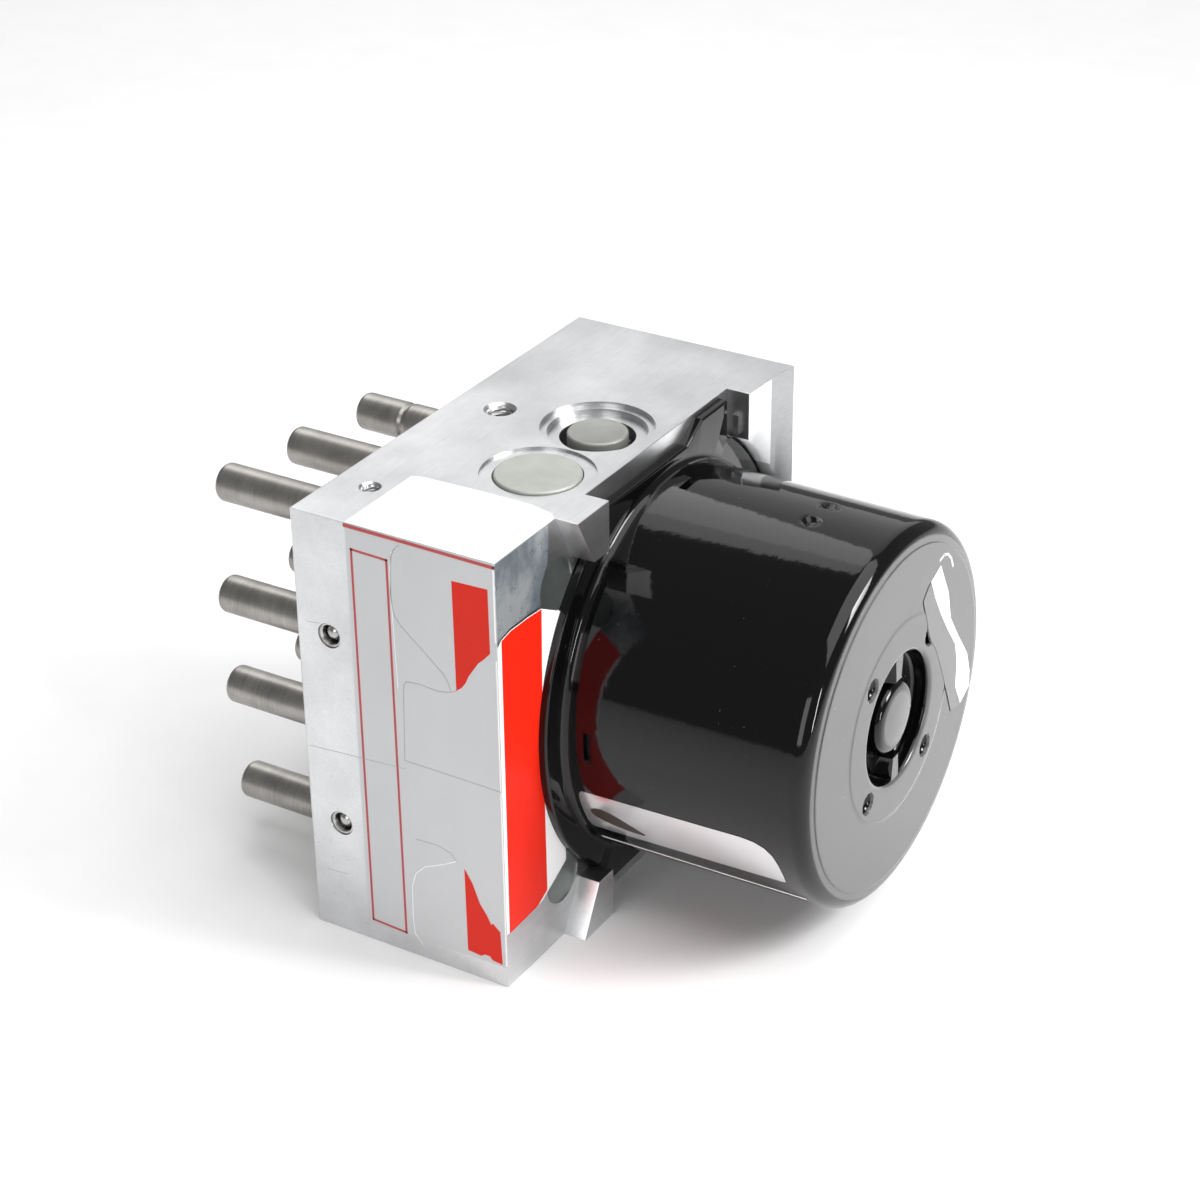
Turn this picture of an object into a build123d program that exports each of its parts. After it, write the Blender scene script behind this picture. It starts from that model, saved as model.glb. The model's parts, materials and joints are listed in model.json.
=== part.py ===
from build123d import *
import os
from math import cos, pi, radians, sin, sqrt

os.makedirs("parts", exist_ok=True)

# All sizes are in millimetres. X runs along the motor's axis, from the valves (-X) to the
# motor (+X). Y runs across the block to its ported face. Z runs up the block.

# ---- Valve block ----
block_thickness = 45.0
block_width = 101.5
block_height = 92.0
block_edge = 0.5  # broken edge round the valve face

# ---- Motor position and can ----
motor_from_near = 57.5  # motor axis from the near narrow face
can_root_radius = 39.0
can_end_radius = 38.4
can_length = 53.0  # from the block's motor face to the can's end
can_wall = 2.2
can_shoulder = 3.2
root_fillet = 1.5
flange_thickness = 2.0
flange_radius = 44.7
flange_half_height = 41.7
flange_far_reach = 43.0
lug_far_inner = 8.5
lug_far_shoulder = 14.5
lug_far_outer = 24.5
lug_far_height = 45.0
lug_near_length = 14.0
lug_near_depth = 9.0
end_step_radius = 34.5
end_ring_radius = 20.6
end_step_depth = 0.3
end_ring_depth = 0.15
end_pocket_radius = 13.3
end_pocket_depth = 4.0
bearing_cup_radius = 7.5
end_dimple_radius = 2.0
end_dimple_circle = 17.5
end_dimple_depth = 0.5
lance_length = 5.6
lance_width = 1.3
lance_from_face = 7.2

# ---- Ears and lands that hold the flange ----
recess_depth = 0.3
recess_clearance = 0.5
land_height = 4.8
far_land_extra = 1.5
far_wall_from_near = 85.2
ear_inner_from_near = 31.4
ear_outer_from_near = 20.3
ear_foot_from_near = 26.0
ear_drop = 10.5
ear_clearance = 0.3
tab_length = 4.0
tab_from_foot = 3.0
tab_from_circle = 1.25
tab_reach = 0.9
tab_height = 1.2
spot_radius = 5.6
spot_from_near = 20.1
spot_from_mid = 32.2

# ---- Eccentric chamber and rotor ----
chamber_radius = 13.0
chamber_depth = 18.2
shaft_radius = 4.0
shaft_tail_radius = 2.95
shaft_end_depth = 24.0
shaft_end_gap = 0.3
front_bearing_radius = 8.0
front_bearing_width = 5.5
rear_bearing_radius = 6.0
rear_bearing_length = 4.0
bearing_clearance = 0.04
eccentric_throw = 1.25
eccentric_radius = 7.0
eccentric_length = 9.0
ring_radius = 10.0
ring_width = 8.0
commutator_radius = 11.0
commutator_length = 10.0
commutator_from_face = 3.5
core_radius = 28.3
core_length = 24.0
core_from_face = 18.5
slot_count = 10
slot_width = 5.0
slot_depth = 9.0
slot_clearance = 0.3
winding_overhang = 4.0
winding_inner_radius = 9.0
winding_outer_radius = 25.5
magnet_inner_radius = 29.2
magnet_outer_radius = 36.1
magnet_span = 70.0
magnet_overhang = 2.5

# ---- Brush gear ----
plate_radius = 35.0
plate_thickness = 3.0
plate_hole_radius = 12.5
brush_width = 6.0
brush_height = 8.0
brush_length = 9.0
brush_gap = 0.15
brush_side_clearance = 0.15
holder_wall = 2.0
holder_reach = 33.0
terminal_from_motor = 21.25
terminal_bore_radius = 5.0
terminal_post_radius = 4.6
post_proud = 2.0
blade_proud = 8.0
blade_thickness = 0.8
blade_width = 3.0
blade_spacing = 4.0
blade_clearance = 0.05

# ---- Pump stack, from either end of the block towards the motor's axis ----
pump_from_face = 13.5
pump_outer_recess = (11.3, 1.0)  # radius, depth
pump_inner_recess = (9.9, 2.2)
pump_groove_radius = 7.5
pump_groove_depth = 12.0
pump_cup_radius = 6.0
pump_cup_top = 1.1
pump_cup_edge = 1.2
pump_cup_foot = 7.0
pump_press_clearance = 0.03
pump_sleeve_radius = 5.5
pump_sleeve_end = 28.0
pump_piston_radius = 3.0
piston_clearance = 0.05
piston_ring_clearance = 0.12
piston_top_depth = 17.5
piston_bore_radius = 3.6
piston_stroke = 2.0 * eccentric_throw

# ---- Accumulators ----
accumulator_from_face = 12.7
accumulator_from_near = 34.6
accumulator_recess = (11.2, 0.6)
accumulator_radius = 8.7
accumulator_depth = 28.0
accumulator_cap_thickness = 3.0
accumulator_cap_clearance = 0.1
accumulator_piston_length = 9.0
accumulator_piston_clearance = 0.08
accumulator_rest_gap = 0.3
accumulator_stroke = 7.0
o_ring_width = 2.4
o_ring_depth = 1.4

# ---- Solenoid valves ----
column_pitch = 20.2
outer_row_first = 21.0
inner_row_first = 19.0
outer_row_from_mid = 34.3
inner_row_from_mid = 10.4
stem_lengths = (32.0, 29.8, 27.2)
stem_radius = 3.9
stem_wall = 0.4
stem_crown = 0.8  # how far the hollow reaches into the round tip
collar_radius = 6.4
collar_bore_radius = 6.5
collar_sink = 0.4
collar_depth = 4.0
valve_bore_radius = 5.0
valve_bore_depth = 18.0
body_clearance = 0.05
armature_clearance = 0.08
inlet_headroom = 0.7
outlet_headroom = 4.2
pole_height = 4.0
valve_stroke = 0.3
valve_gap = 0.35
seat_contact_gap = 0.03
pin_radius = 1.05
pin_bore_radius = 1.2
seat_depth = 16.0
spring_pocket_radius = 2.5
spring_pocket_depth = 5.0

# ---- Springs ----
valve_spring_wire = 0.5
valve_spring_radius = 1.85
pump_spring_wire = 0.7
pump_spring_radius = 2.3
accumulator_spring_wire = 1.4
accumulator_spring_radius = 6.6
brush_spring_side = 3.6
spring_room = 0.02

# ---- Ports, screw holes and drillings ----
wheel_port_from_valve_face = 13.0
wheel_port_offsets = (11.5, 34.0)
wheel_port_radius = 4.5
master_port_from_face = 11.5
master_port_offset = 23.0
master_port_radius = 5.5
wheel_port_depths = (14.4, 15.0)
master_port_depth = 16.0
spot_face_radius = 8.0
master_spot_radius = 8.5
spot_face_depth = 0.5
large_thread = (2.5, 3.3, 7.0)  # M6: tapping radius, countersink radius, depth
large_thread_from_valve_face = 10.9
large_thread_from_near = 54.7
small_thread = (1.65, 2.2, 8.0)  # M4
small_thread_from_valve_face = 8.4
small_thread_from_near = 14.15
controller_screw_radius = 2.0
controller_screw_depth = 9.0
controller_screw_inset_y = 5.25
controller_screw_inset_z = 5.5
drilling_from_valve_face = 7.5
drilling_from_mid = 20.8
drilling_radius = 1.6
drilling_depth = 24.0
plug_bore_radius = 2.6
plug_bore_depth = 5.0
plug_ring_radius = 2.55
plug_ring_bore = 1.95
plug_ring_length = 3.5
plug_sink = 0.4
plug_ball_clearance = 0.02

# ---- Places that follow from the sizes ----
motor_face_x = (block_thickness + max(stem_lengths) - can_length) / 2
valve_face_x = motor_face_x - block_thickness
near_face_y = -block_width / 2
far_face_y = block_width / 2
mid_z = block_height / 2
motor_y = near_face_y + motor_from_near
pump_x = motor_face_x - pump_from_face
accumulator_x = motor_face_x - accumulator_from_face
accumulator_y = near_face_y + accumulator_from_near
recess_x = motor_face_x - recess_depth
flange_front_x = recess_x + flange_thickness
can_end_x = motor_face_x + can_length
chamber_floor_x = motor_face_x - chamber_depth
shaft_end_x = motor_face_x - shaft_end_depth
terminal_y = motor_y + terminal_from_motor
armature_radius = stem_radius - stem_wall - armature_clearance
piston_reach = ring_radius + eccentric_throw + piston_ring_clearance

TOWARDS_MOTOR = (1, 0, 0)
TOWARDS_VALVES = (-1, 0, 0)
DOWN = (0, 0, -1)
TOWARDS_FAR = (0, 1, 0)
TOWARDS_NEAR = (0, -1, 0)


def turned(profile, point, direction):
    """Turn a closed (radius, distance) outline about an axis through a point."""
    outline = Polyline(*[(radius, 0, distance) for radius, distance in profile], close=True)
    solid = revolve(make_face(outline), axis=Axis.Z)
    return Plane(origin=point, z_dir=direction) * solid


def rod(radius, length, point, direction):
    """Cylinder that starts at a point and runs in a direction."""
    blank = Cylinder(radius, length, align=(Align.CENTER, Align.CENTER, Align.MIN))
    return Plane(origin=point, z_dir=direction) * blank


def ring(outer, inner, length, point, direction):
    """Plain tube that starts at a point and runs in a direction."""
    profile = [(inner, 0), (outer, 0), (outer, length), (inner, length)]
    return turned(profile, point, direction)


def span(x, y, z):
    """Box between three (low, high) pairs."""
    size = [high - low for low, high in (x, y, z)]
    middle = [(low + high) / 2 for low, high in (x, y, z)]
    return Pos(*middle) * Box(*size)


def outline_yz(points, x, thickness):
    """Plate whose (y, z) outline is pushed towards the motor from a given x."""
    outline = Polyline(*[(x, y, z) for y, z in points], close=True)
    return extrude(make_face(outline), amount=thickness, dir=TOWARDS_MOTOR)


def upside_down(shape):
    """The same shape at the other end of the block."""
    return mirror(shape, about=Plane.XY.offset(mid_z))


def coil(mean_radius, wire, length, turns, steps=8):
    """Closed polygonal compression spring that stands on the origin along Z."""
    travel = length - wire
    half = wire / 2
    rows = []
    for step in range(round(turns * steps) + 1):
        angle = 2 * pi * step / steps
        height = half + travel * step / round(turns * steps)
        row = []
        for out, up in ((-half, -half), (half, -half), (half, half), (-half, half)):
            radius = mean_radius + out
            row.append((radius * cos(angle), radius * sin(angle), height + up))
        rows.append(row)
    faces = [make_face(Polyline(*rows[0], close=True)), make_face(Polyline(*rows[-1], close=True))]
    for row, after in zip(rows, rows[1:]):
        for side in range(4):
            a, b = row[side], row[(side + 1) % 4]
            c, d = after[(side + 1) % 4], after[side]
            faces.append(make_face(Polyline(a, b, c, close=True)))
            faces.append(make_face(Polyline(a, c, d, close=True)))
    return Solid(Shell(faces))


def valve_places():
    """Y, z, stem length and kind of each valve, column by column from the top."""
    places = []
    for column, stem in enumerate(stem_lengths):
        outer_y = near_face_y + outer_row_first + column * column_pitch
        inner_y = near_face_y + inner_row_first + column * column_pitch
        places.append((outer_y, mid_z + outer_row_from_mid, stem, "inlet"))
        places.append((inner_y, mid_z + inner_row_from_mid, stem, "outlet"))
        places.append((inner_y, mid_z - inner_row_from_mid, stem, "outlet"))
        places.append((outer_y, mid_z - outer_row_from_mid, stem, "inlet"))
    return places


def near_ear(x, thickness, grow=0.0):
    """Wedge-shaped ear beside the flange at the top of the block."""
    top = block_height
    points = [
        (near_face_y + ear_outer_from_near - grow, top),
        (near_face_y + ear_inner_from_near + grow, top),
        (near_face_y + ear_inner_from_near + grow, top - ear_drop - grow),
        (near_face_y + ear_foot_from_near - grow, top - ear_drop - grow),
    ]
    return outline_yz(points, x, thickness)


def flange_plate(x, thickness, grow=0.0):
    """Round flange with flats, two far lugs, and near lugs that end at the ears."""
    disc = rod(flange_radius + grow, thickness, (x, motor_y, mid_z), TOWARDS_MOTOR)
    flats = span(
        (x, x + thickness),
        (motor_y - 2 * flange_radius, motor_y + flange_far_reach + grow),
        (mid_z - flange_half_height - grow, mid_z + flange_half_height + grow),
    )
    far_lug = outline_yz(
        [
            (motor_y + lug_far_inner - grow, mid_z + flange_half_height - 6),
            (motor_y + lug_far_inner - grow, mid_z + flange_half_height + grow),
            (motor_y + lug_far_shoulder - grow, mid_z + lug_far_height + grow),
            (motor_y + lug_far_outer + grow, mid_z + lug_far_height + grow),
            (motor_y + lug_far_outer + grow, mid_z + flange_half_height - 6),
        ],
        x,
        thickness,
    )
    lug_y = near_face_y + ear_inner_from_near + ear_clearance - grow
    near_lug = outline_yz(
        [
            (lug_y, mid_z + flange_half_height - lug_near_depth),
            (lug_y, mid_z + flange_half_height + grow),
            (lug_y + lug_near_length, mid_z + flange_half_height + grow),
            (lug_y + lug_near_length, mid_z + flange_half_height - lug_near_depth),
        ],
        x,
        thickness,
    )
    lugs = far_lug + near_lug
    return (disc & flats) + lugs + upside_down(lugs)


def lands():
    """Raised metal round the flange: two ears on the near side and the far wall."""
    ear = near_ear(motor_face_x, land_height)
    far = make_face(
        Polyline(
            (motor_face_x, near_face_y + far_wall_from_near, 0),
            (motor_face_x + land_height, near_face_y + far_wall_from_near, 0),
            (motor_face_x + land_height + far_land_extra / 3, far_face_y - 5.5, 0),
            (motor_face_x + land_height + far_land_extra, far_face_y, 0),
            (motor_face_x, far_face_y, 0),
            close=True,
        )
    )
    far_land = extrude(far, amount=block_height, dir=(0, 0, 1))
    circle = rod(
        flange_radius + recess_clearance,
        land_height + far_land_extra,
        (motor_face_x, motor_y, mid_z),
        TOWARDS_MOTOR,
    )
    return [ear, upside_down(ear), far_land - circle]


def stake_tabs():
    """Metal rolled over the flange's edge at each ear."""
    x = (flange_front_x, flange_front_x + tab_height)
    ear_y = near_face_y + ear_inner_from_near
    wall_y = near_face_y + far_wall_from_near
    top = block_height
    ear_tab_z = top - ear_drop + tab_from_foot
    wall_foot = mid_z + sqrt((flange_radius + recess_clearance) ** 2 - (wall_y - motor_y) ** 2)
    wall_tab_z = wall_foot + tab_from_circle
    on_ear = span(x, (ear_y - 0.5, ear_y + tab_reach), (ear_tab_z, ear_tab_z + tab_length))
    on_wall = span(x, (wall_y - tab_reach, wall_y + 0.5), (wall_tab_z, wall_tab_z + tab_length))
    return [on_ear, on_wall, upside_down(on_ear), upside_down(on_wall)]


def block_end_bores():
    """Pump, accumulator and threaded bores that enter the top of the block."""
    top = block_height
    pump = (pump_x, motor_y, top)
    store = (accumulator_x, accumulator_y, top)
    outer_radius, outer_depth = pump_outer_recess
    inner_radius, inner_depth = pump_inner_recess
    chamber_cut = mid_z - sqrt(chamber_radius**2 - piston_bore_radius**2) + 1.0
    bores = [
        turned(
            [
                (0, 0),
                (outer_radius, 0),
                (outer_radius, outer_depth),
                (inner_radius, outer_depth),
                (inner_radius, inner_depth),
                (pump_groove_radius, inner_depth),
                (pump_groove_radius, pump_groove_depth),
                (pump_sleeve_radius + pump_press_clearance, pump_groove_depth),
                (pump_sleeve_radius + pump_press_clearance, pump_sleeve_end),
                (piston_bore_radius, pump_sleeve_end),
                (piston_bore_radius, chamber_cut),
                (0, chamber_cut),
            ],
            pump,
            DOWN,
        ),
        turned(
            [
                (0, 0),
                (accumulator_recess[0], 0),
                (accumulator_recess[0], accumulator_recess[1]),
                (accumulator_radius, accumulator_recess[1]),
                (accumulator_radius, accumulator_depth),
                (0, accumulator_depth),
            ],
            store,
            DOWN,
        ),
    ]
    threads = (
        (large_thread, large_thread_from_valve_face, large_thread_from_near),
        (small_thread, small_thread_from_valve_face, small_thread_from_near),
    )
    for (radius, countersink, depth), from_valve_face, from_near in threads:
        profile = [
            (0, 0),
            (countersink, 0),
            (radius, countersink - radius),
            (radius, depth),
            (0, depth),
        ]
        place = (valve_face_x + from_valve_face, near_face_y + from_near, top)
        bores.append(turned(profile, place, DOWN))
    return bores


def valve_bores():
    """Stepped bores for the twelve valves."""
    profile = [
        (0, 0),
        (collar_bore_radius, 0),
        (collar_bore_radius, collar_depth),
        (valve_bore_radius, collar_depth),
        (valve_bore_radius, valve_bore_depth),
        (0, valve_bore_depth),
    ]
    pattern = turned(profile, (0, 0, 0), TOWARDS_MOTOR)
    return [Pos(valve_face_x, y, z) * pattern for y, z, _, _ in valve_places()]


def motor_bores():
    """Eccentric chamber, front bearing seat and the way through for the terminal post."""
    bearing_floor = shaft_end_depth + shaft_end_gap - chamber_depth
    return [
        rod(chamber_radius, chamber_depth, (motor_face_x, motor_y, mid_z), TOWARDS_VALVES),
        rod(
            front_bearing_radius,
            bearing_floor,
            (chamber_floor_x, motor_y, mid_z),
            TOWARDS_VALVES,
        ),
        rod(
            terminal_bore_radius,
            block_thickness,
            (motor_face_x, terminal_y, mid_z),
            TOWARDS_VALVES,
        ),
    ]


def ports():
    """Four wheel ports and two master-cylinder ports, each with its spot face."""
    cuts = []
    wheel_x = valve_face_x + wheel_port_from_valve_face
    for offset, depth in zip(wheel_port_offsets, wheel_port_depths):
        for z in (mid_z - offset, mid_z + offset):
            mouth = (wheel_x, far_face_y, z)
            cuts.append(rod(spot_face_radius, spot_face_depth, mouth, TOWARDS_NEAR))
            cuts.append(rod(wheel_port_radius, depth, mouth, TOWARDS_NEAR))
    for z in (mid_z - master_port_offset, mid_z + master_port_offset):
        mouth = (motor_face_x - master_port_from_face, far_face_y, z)
        cuts.append(rod(master_spot_radius, spot_face_depth, mouth, TOWARDS_NEAR))
        cuts.append(rod(master_port_radius, master_port_depth, mouth, TOWARDS_NEAR))
    return cuts


def small_holes():
    """Controller screw holes on the valve face and closed drillings on the near face."""
    cuts = []
    y_places = (near_face_y + controller_screw_inset_y, far_face_y - controller_screw_inset_y)
    z_places = (controller_screw_inset_z, block_height - controller_screw_inset_z)
    for y in y_places:
        for z in z_places:
            place = (valve_face_x, y, z)
            cuts.append(rod(controller_screw_radius, controller_screw_depth, place, TOWARDS_MOTOR))
    for x, z in drilling_places():
        mouth = (x, near_face_y, z)
        cuts.append(rod(plug_bore_radius, plug_bore_depth, mouth, TOWARDS_FAR))
        cuts.append(rod(drilling_radius, drilling_depth, mouth, TOWARDS_FAR))
    return cuts


def drilling_places():
    """X and z of the closed drillings."""
    x = valve_face_x + drilling_from_valve_face
    return [(x, mid_z + drilling_from_mid), (x, mid_z - drilling_from_mid)]


def valve_block():
    """Drilled block with its ears, recess, spot faces and stake tabs."""
    body = span(
        (valve_face_x, motor_face_x),
        (near_face_y, far_face_y),
        (0, block_height),
    )
    body = chamfer(body.faces().sort_by(Axis.X)[0].edges(), block_edge)
    body += lands()
    recess = flange_plate(recess_x, recess_depth, grow=recess_clearance)
    slot = span(
        (recess_x, motor_face_x),
        (near_face_y + ear_inner_from_near, near_face_y + far_wall_from_near),
        (0, block_height),
    )
    spots = [
        rod(
            spot_radius,
            recess_depth,
            (recess_x, near_face_y + spot_from_near, mid_z + side * spot_from_mid),
            TOWARDS_MOTOR,
        )
        for side in (-1, 1)
    ]
    ends = block_end_bores()
    cuts = [slot, *spots, *ends, *[upside_down(bore) for bore in ends]]
    cuts += [*valve_bores(), *motor_bores(), *ports(), *small_holes()]
    ears = [near_ear(recess_x, recess_depth), upside_down(near_ear(recess_x, recess_depth))]
    body -= recess - ears
    body -= cuts
    body += stake_tabs()
    return body


def can_radius(distance):
    """Outside radius of the can at a distance from the motor face."""
    share = distance / can_length
    return can_root_radius + (can_end_radius - can_root_radius) * share


def motor_can():
    """Deep-drawn can with its flange, stepped end, bearing cup and lanced windows."""
    front = flange_thickness - recess_depth
    end = can_length
    shoulder = end - can_shoulder
    outer_end = can_radius(shoulder)
    floor = end - end_pocket_depth
    step = end - end_ring_depth - end_step_depth
    turn = can_shoulder * (1 - sqrt(0.5))
    corner = step - can_shoulder
    outer = [
        (can_radius(front) + root_fillet, front),
        (can_radius(front) + 0.3 * root_fillet, front + 0.3 * root_fillet),
        (can_radius(front + root_fillet), front + root_fillet),
        (can_radius(corner), corner),
    ]
    shell = [
        *outer,
        (outer_end - 0.08 * can_shoulder, corner + 0.38 * can_shoulder),
        (outer_end - turn, step - turn),
        (outer_end - 0.62 * can_shoulder, step - 0.08 * can_shoulder),
        (outer_end - can_shoulder, step),
        (end_step_radius + end_step_depth, step),
        (end_step_radius, end - end_ring_depth),
        (end_ring_radius + end_ring_depth, end - end_ring_depth),
        (end_ring_radius, end),
        (end_pocket_radius + 0.6, end),
        (end_pocket_radius, end - 0.6),
        (end_pocket_radius - 0.6, floor),
        (bearing_cup_radius, floor),
        (bearing_cup_radius - 0.3, end - 1.2),
        (bearing_cup_radius - 1.5, end - 0.5),
        (0, end - 0.3),
        (0, end - 2.0),
        (rear_bearing_radius, end - 2.0),
        (rear_bearing_radius, floor - can_wall + 0.2),
        (end_pocket_radius + can_wall - 0.2, floor - can_wall + 0.2),
        (end_pocket_radius + can_wall, end - can_wall),
        (outer_end - can_wall - 2.0, end - can_wall - 0.4),
        (outer_end - can_wall, end - can_wall - 2.6),
        (can_radius(front) - can_wall, front),
        (can_radius(front) - can_wall, -recess_depth),
        (can_radius(front), -recess_depth),
    ]
    can = turned(shell, (motor_face_x, motor_y, mid_z), TOWARDS_MOTOR)
    ear = near_ear(recess_x, flange_thickness, grow=ear_clearance)
    opening = rod(
        can_radius(front) - can_wall, flange_thickness, (recess_x, motor_y, mid_z), TOWARDS_MOTOR
    )
    flange = flange_plate(recess_x, flange_thickness) - [ear, upside_down(ear), opening]
    can += flange
    can += end_ribs()
    can -= end_dimples()
    can -= lances()
    return can


def end_dimples():
    """Four round dents between the bearing cup and the step on the can's end."""
    dents = []
    for quarter in range(4):
        angle = radians(44.5 + 90 * quarter)
        y = motor_y + end_dimple_circle * cos(angle)
        z = mid_z + end_dimple_circle * sin(angle)
        depth = end_dimple_depth
        profile = [(0, 0), (end_dimple_radius, 0), (0.6 * end_dimple_radius, depth), (0, depth)]
        dents.append(turned(profile, (can_end_x, y, z), TOWARDS_VALVES))
    return dents


def end_ribs():
    """Two ribs across the end pocket, above and below the bearing cup."""
    floor_x = can_end_x - end_pocket_depth
    rib = span(
        (floor_x - 0.5, can_end_x - 1.5),
        (motor_y - 1.5, motor_y + 1.5),
        (mid_z + bearing_cup_radius - 1.0, mid_z + end_pocket_radius),
    )
    return [rib, upside_down(rib)]


def lances():
    """Narrow windows cut near the flange, at the quarters of the can."""
    x = motor_face_x + lance_from_face
    along = (x - lance_width / 2, x + lance_width / 2)
    deep = can_root_radius - can_wall / 2
    cuts = []
    for side in (-1, 1):
        edge = sorted((side * deep, side * (can_root_radius + 1)))
        half = lance_length / 2
        cuts.append(span(along, (motor_y - half, motor_y + half), [mid_z + e for e in edge]))
        cuts.append(span(along, [motor_y + e for e in edge], (mid_z - half, mid_z + half)))
    return cuts


def motor_magnets():
    """Four curved magnets inside the can."""
    start = core_from_face - magnet_overhang
    length = core_length + 2 * magnet_overhang
    face = make_face(
        Polyline(
            (magnet_inner_radius, 0, 0),
            (magnet_outer_radius, 0, 0),
            (magnet_outer_radius, 0, length),
            (magnet_inner_radius, 0, length),
            close=True,
        )
    )
    magnet = revolve(face, axis=Axis.Z, revolution_arc=magnet_span)
    seat = Plane(origin=(motor_face_x + start, motor_y, mid_z), z_dir=TOWARDS_MOTOR)
    return [seat * (Rot(0, 0, 90 * n + 45 - magnet_span / 2) * magnet) for n in range(4)]


def motor_shaft():
    """Stepped shaft from the front bearing to the bush in the can's end."""
    tail_start = core_from_face + core_length + shaft_end_depth
    tail_end = can_length - 2.3 + shaft_end_depth
    profile = [
        (0, 0),
        (shaft_radius - 0.4, 0),
        (shaft_radius, 0.4),
        (shaft_radius, tail_start),
        (shaft_tail_radius, tail_start),
        (shaft_tail_radius, tail_end),
        (0, tail_end),
    ]
    return turned(profile, (shaft_end_x, motor_y, mid_z), TOWARDS_MOTOR)


def armature_core():
    """Slotted core pressed on the shaft."""
    start = (motor_face_x + core_from_face, motor_y, mid_z)
    core = ring(core_radius, shaft_radius, core_length, start, TOWARDS_MOTOR)
    return core - slot_bars(core_length, start, slot_width, slot_depth + 1, 1)


def slot_bars(length, start, width, depth, beyond=0.0):
    """Bars that fill the core's slots, or cut them when they reach beyond its rim."""
    bar = span(
        (-width / 2, width / 2),
        (core_radius - depth, core_radius + beyond),
        (0, length),
    )
    seat = Plane(origin=start, z_dir=TOWARDS_MOTOR)
    return [seat * (Rot(0, 0, 360 * n / slot_count) * bar) for n in range(slot_count)]


def armature_windings():
    """Wire that fills the slots and turns over at both ends of the core."""
    start = (motor_face_x + core_from_face - winding_overhang, motor_y, mid_z)
    length = core_length + 2 * winding_overhang
    bars = slot_bars(
        length,
        start,
        slot_width - 2 * slot_clearance,
        slot_depth - slot_clearance,
        slot_clearance - 2.0,
    )
    bundle = ring(
        winding_outer_radius, winding_inner_radius, winding_overhang - 0.2, start, TOWARDS_MOTOR
    )
    far = (motor_face_x + core_from_face + core_length + 0.2, motor_y, mid_z)
    other = ring(
        winding_outer_radius, winding_inner_radius, winding_overhang - 0.2, far, TOWARDS_MOTOR
    )
    return bundle + other + bars


def commutator():
    """Barrel that the brushes run on."""
    start = (motor_face_x + commutator_from_face, motor_y, mid_z)
    return ring(commutator_radius, shaft_radius, commutator_length, start, TOWARDS_MOTOR)


def rear_bearing():
    """Sintered bush in the can's end cup."""
    start = (can_end_x - 2.0 - rear_bearing_length, motor_y, mid_z)
    bore = shaft_tail_radius + bearing_clearance
    return ring(rear_bearing_radius, bore, rear_bearing_length, start, TOWARDS_MOTOR)


def front_bearing():
    """Bearing at the bottom of the eccentric chamber."""
    start = (shaft_end_x, motor_y, mid_z)
    bore = shaft_radius + bearing_clearance
    return ring(front_bearing_radius, bore, front_bearing_width, start, TOWARDS_MOTOR)


def eccentric():
    """Offset drum pressed on the shaft."""
    start = (pump_x - eccentric_length / 2, motor_y + eccentric_throw, mid_z)
    bore_start = (pump_x - eccentric_length / 2, motor_y, mid_z)
    drum = rod(eccentric_radius, eccentric_length, start, TOWARDS_MOTOR)
    return drum - rod(shaft_radius, eccentric_length, bore_start, TOWARDS_MOTOR)


def eccentric_bearing():
    """Ring on the eccentric that the pump pistons bear on."""
    start = (pump_x - ring_width / 2, motor_y + eccentric_throw, mid_z)
    return ring(ring_radius, eccentric_radius, ring_width, start, TOWARDS_MOTOR)


def brush_plate():
    """Moulded plate with two brush guides and the terminal post through the block."""
    start = (recess_x, motor_y, mid_z)
    plate = ring(plate_radius, plate_hole_radius, plate_thickness, start, TOWARDS_MOTOR)
    post_length = block_thickness - recess_depth + post_proud
    plate += rod(terminal_post_radius, post_length, (recess_x, terminal_y, mid_z), TOWARDS_VALVES)
    inside = brush_height / 2 + brush_side_clearance
    wall_x = (recess_x + plate_thickness, recess_x + plate_thickness + brush_width + 3)
    for side in (-1, 1):
        reach = sorted((side * (commutator_radius + 2), side * (holder_reach - 2)))
        for flank in (-1, 1):
            wall = sorted((flank * inside, flank * (inside + holder_wall)))
            plate += span(wall_x, [motor_y + v for v in reach], [mid_z + v for v in wall])
        stop = sorted((side * (holder_reach - 3), side * (holder_reach - 1)))
        wall = (mid_z - inside - holder_wall, mid_z + inside + holder_wall)
        plate += span(wall_x, [motor_y + v for v in stop], wall)
    return plate - [terminal_blade(side, blade_clearance) for side in (-1, 1)]


def terminal_blade(side, grow=0.0):
    """One flat blade along the terminal post."""
    middle = mid_z + side * blade_spacing / 2
    return span(
        (valve_face_x - post_proud - blade_proud, recess_x + plate_thickness),
        (terminal_y - blade_width / 2 - grow, terminal_y + blade_width / 2 + grow),
        (middle - blade_thickness / 2 - grow, middle + blade_thickness / 2 + grow),
    )


def brush(side):
    """Carbon brush, hollowed to the commutator's radius."""
    inner = commutator_radius + brush_gap
    reach = sorted((side * (inner - 1.0), side * (inner + brush_length)))
    x = recess_x + plate_thickness + 1.5
    block = span(
        (x, x + brush_width),
        [motor_y + v for v in reach],
        (mid_z - brush_height / 2, mid_z + brush_height / 2),
    )
    return block - rod(inner, brush_width, (x, motor_y, mid_z), TOWARDS_MOTOR)


def brush_springs():
    """Two coil springs that press the brushes inwards."""
    start = commutator_radius + brush_gap + brush_length
    length = holder_reach - 3 - start
    x = recess_x + plate_thickness + 1.5 + brush_width / 2
    blank = coil(brush_spring_side / 2, 0.6, length, 3)
    near = Plane(origin=(x, motor_y - start, mid_z), z_dir=TOWARDS_NEAR) * blank
    far = Plane(origin=(x, motor_y + start, mid_z), z_dir=TOWARDS_FAR) * blank
    return [near, far]


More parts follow.
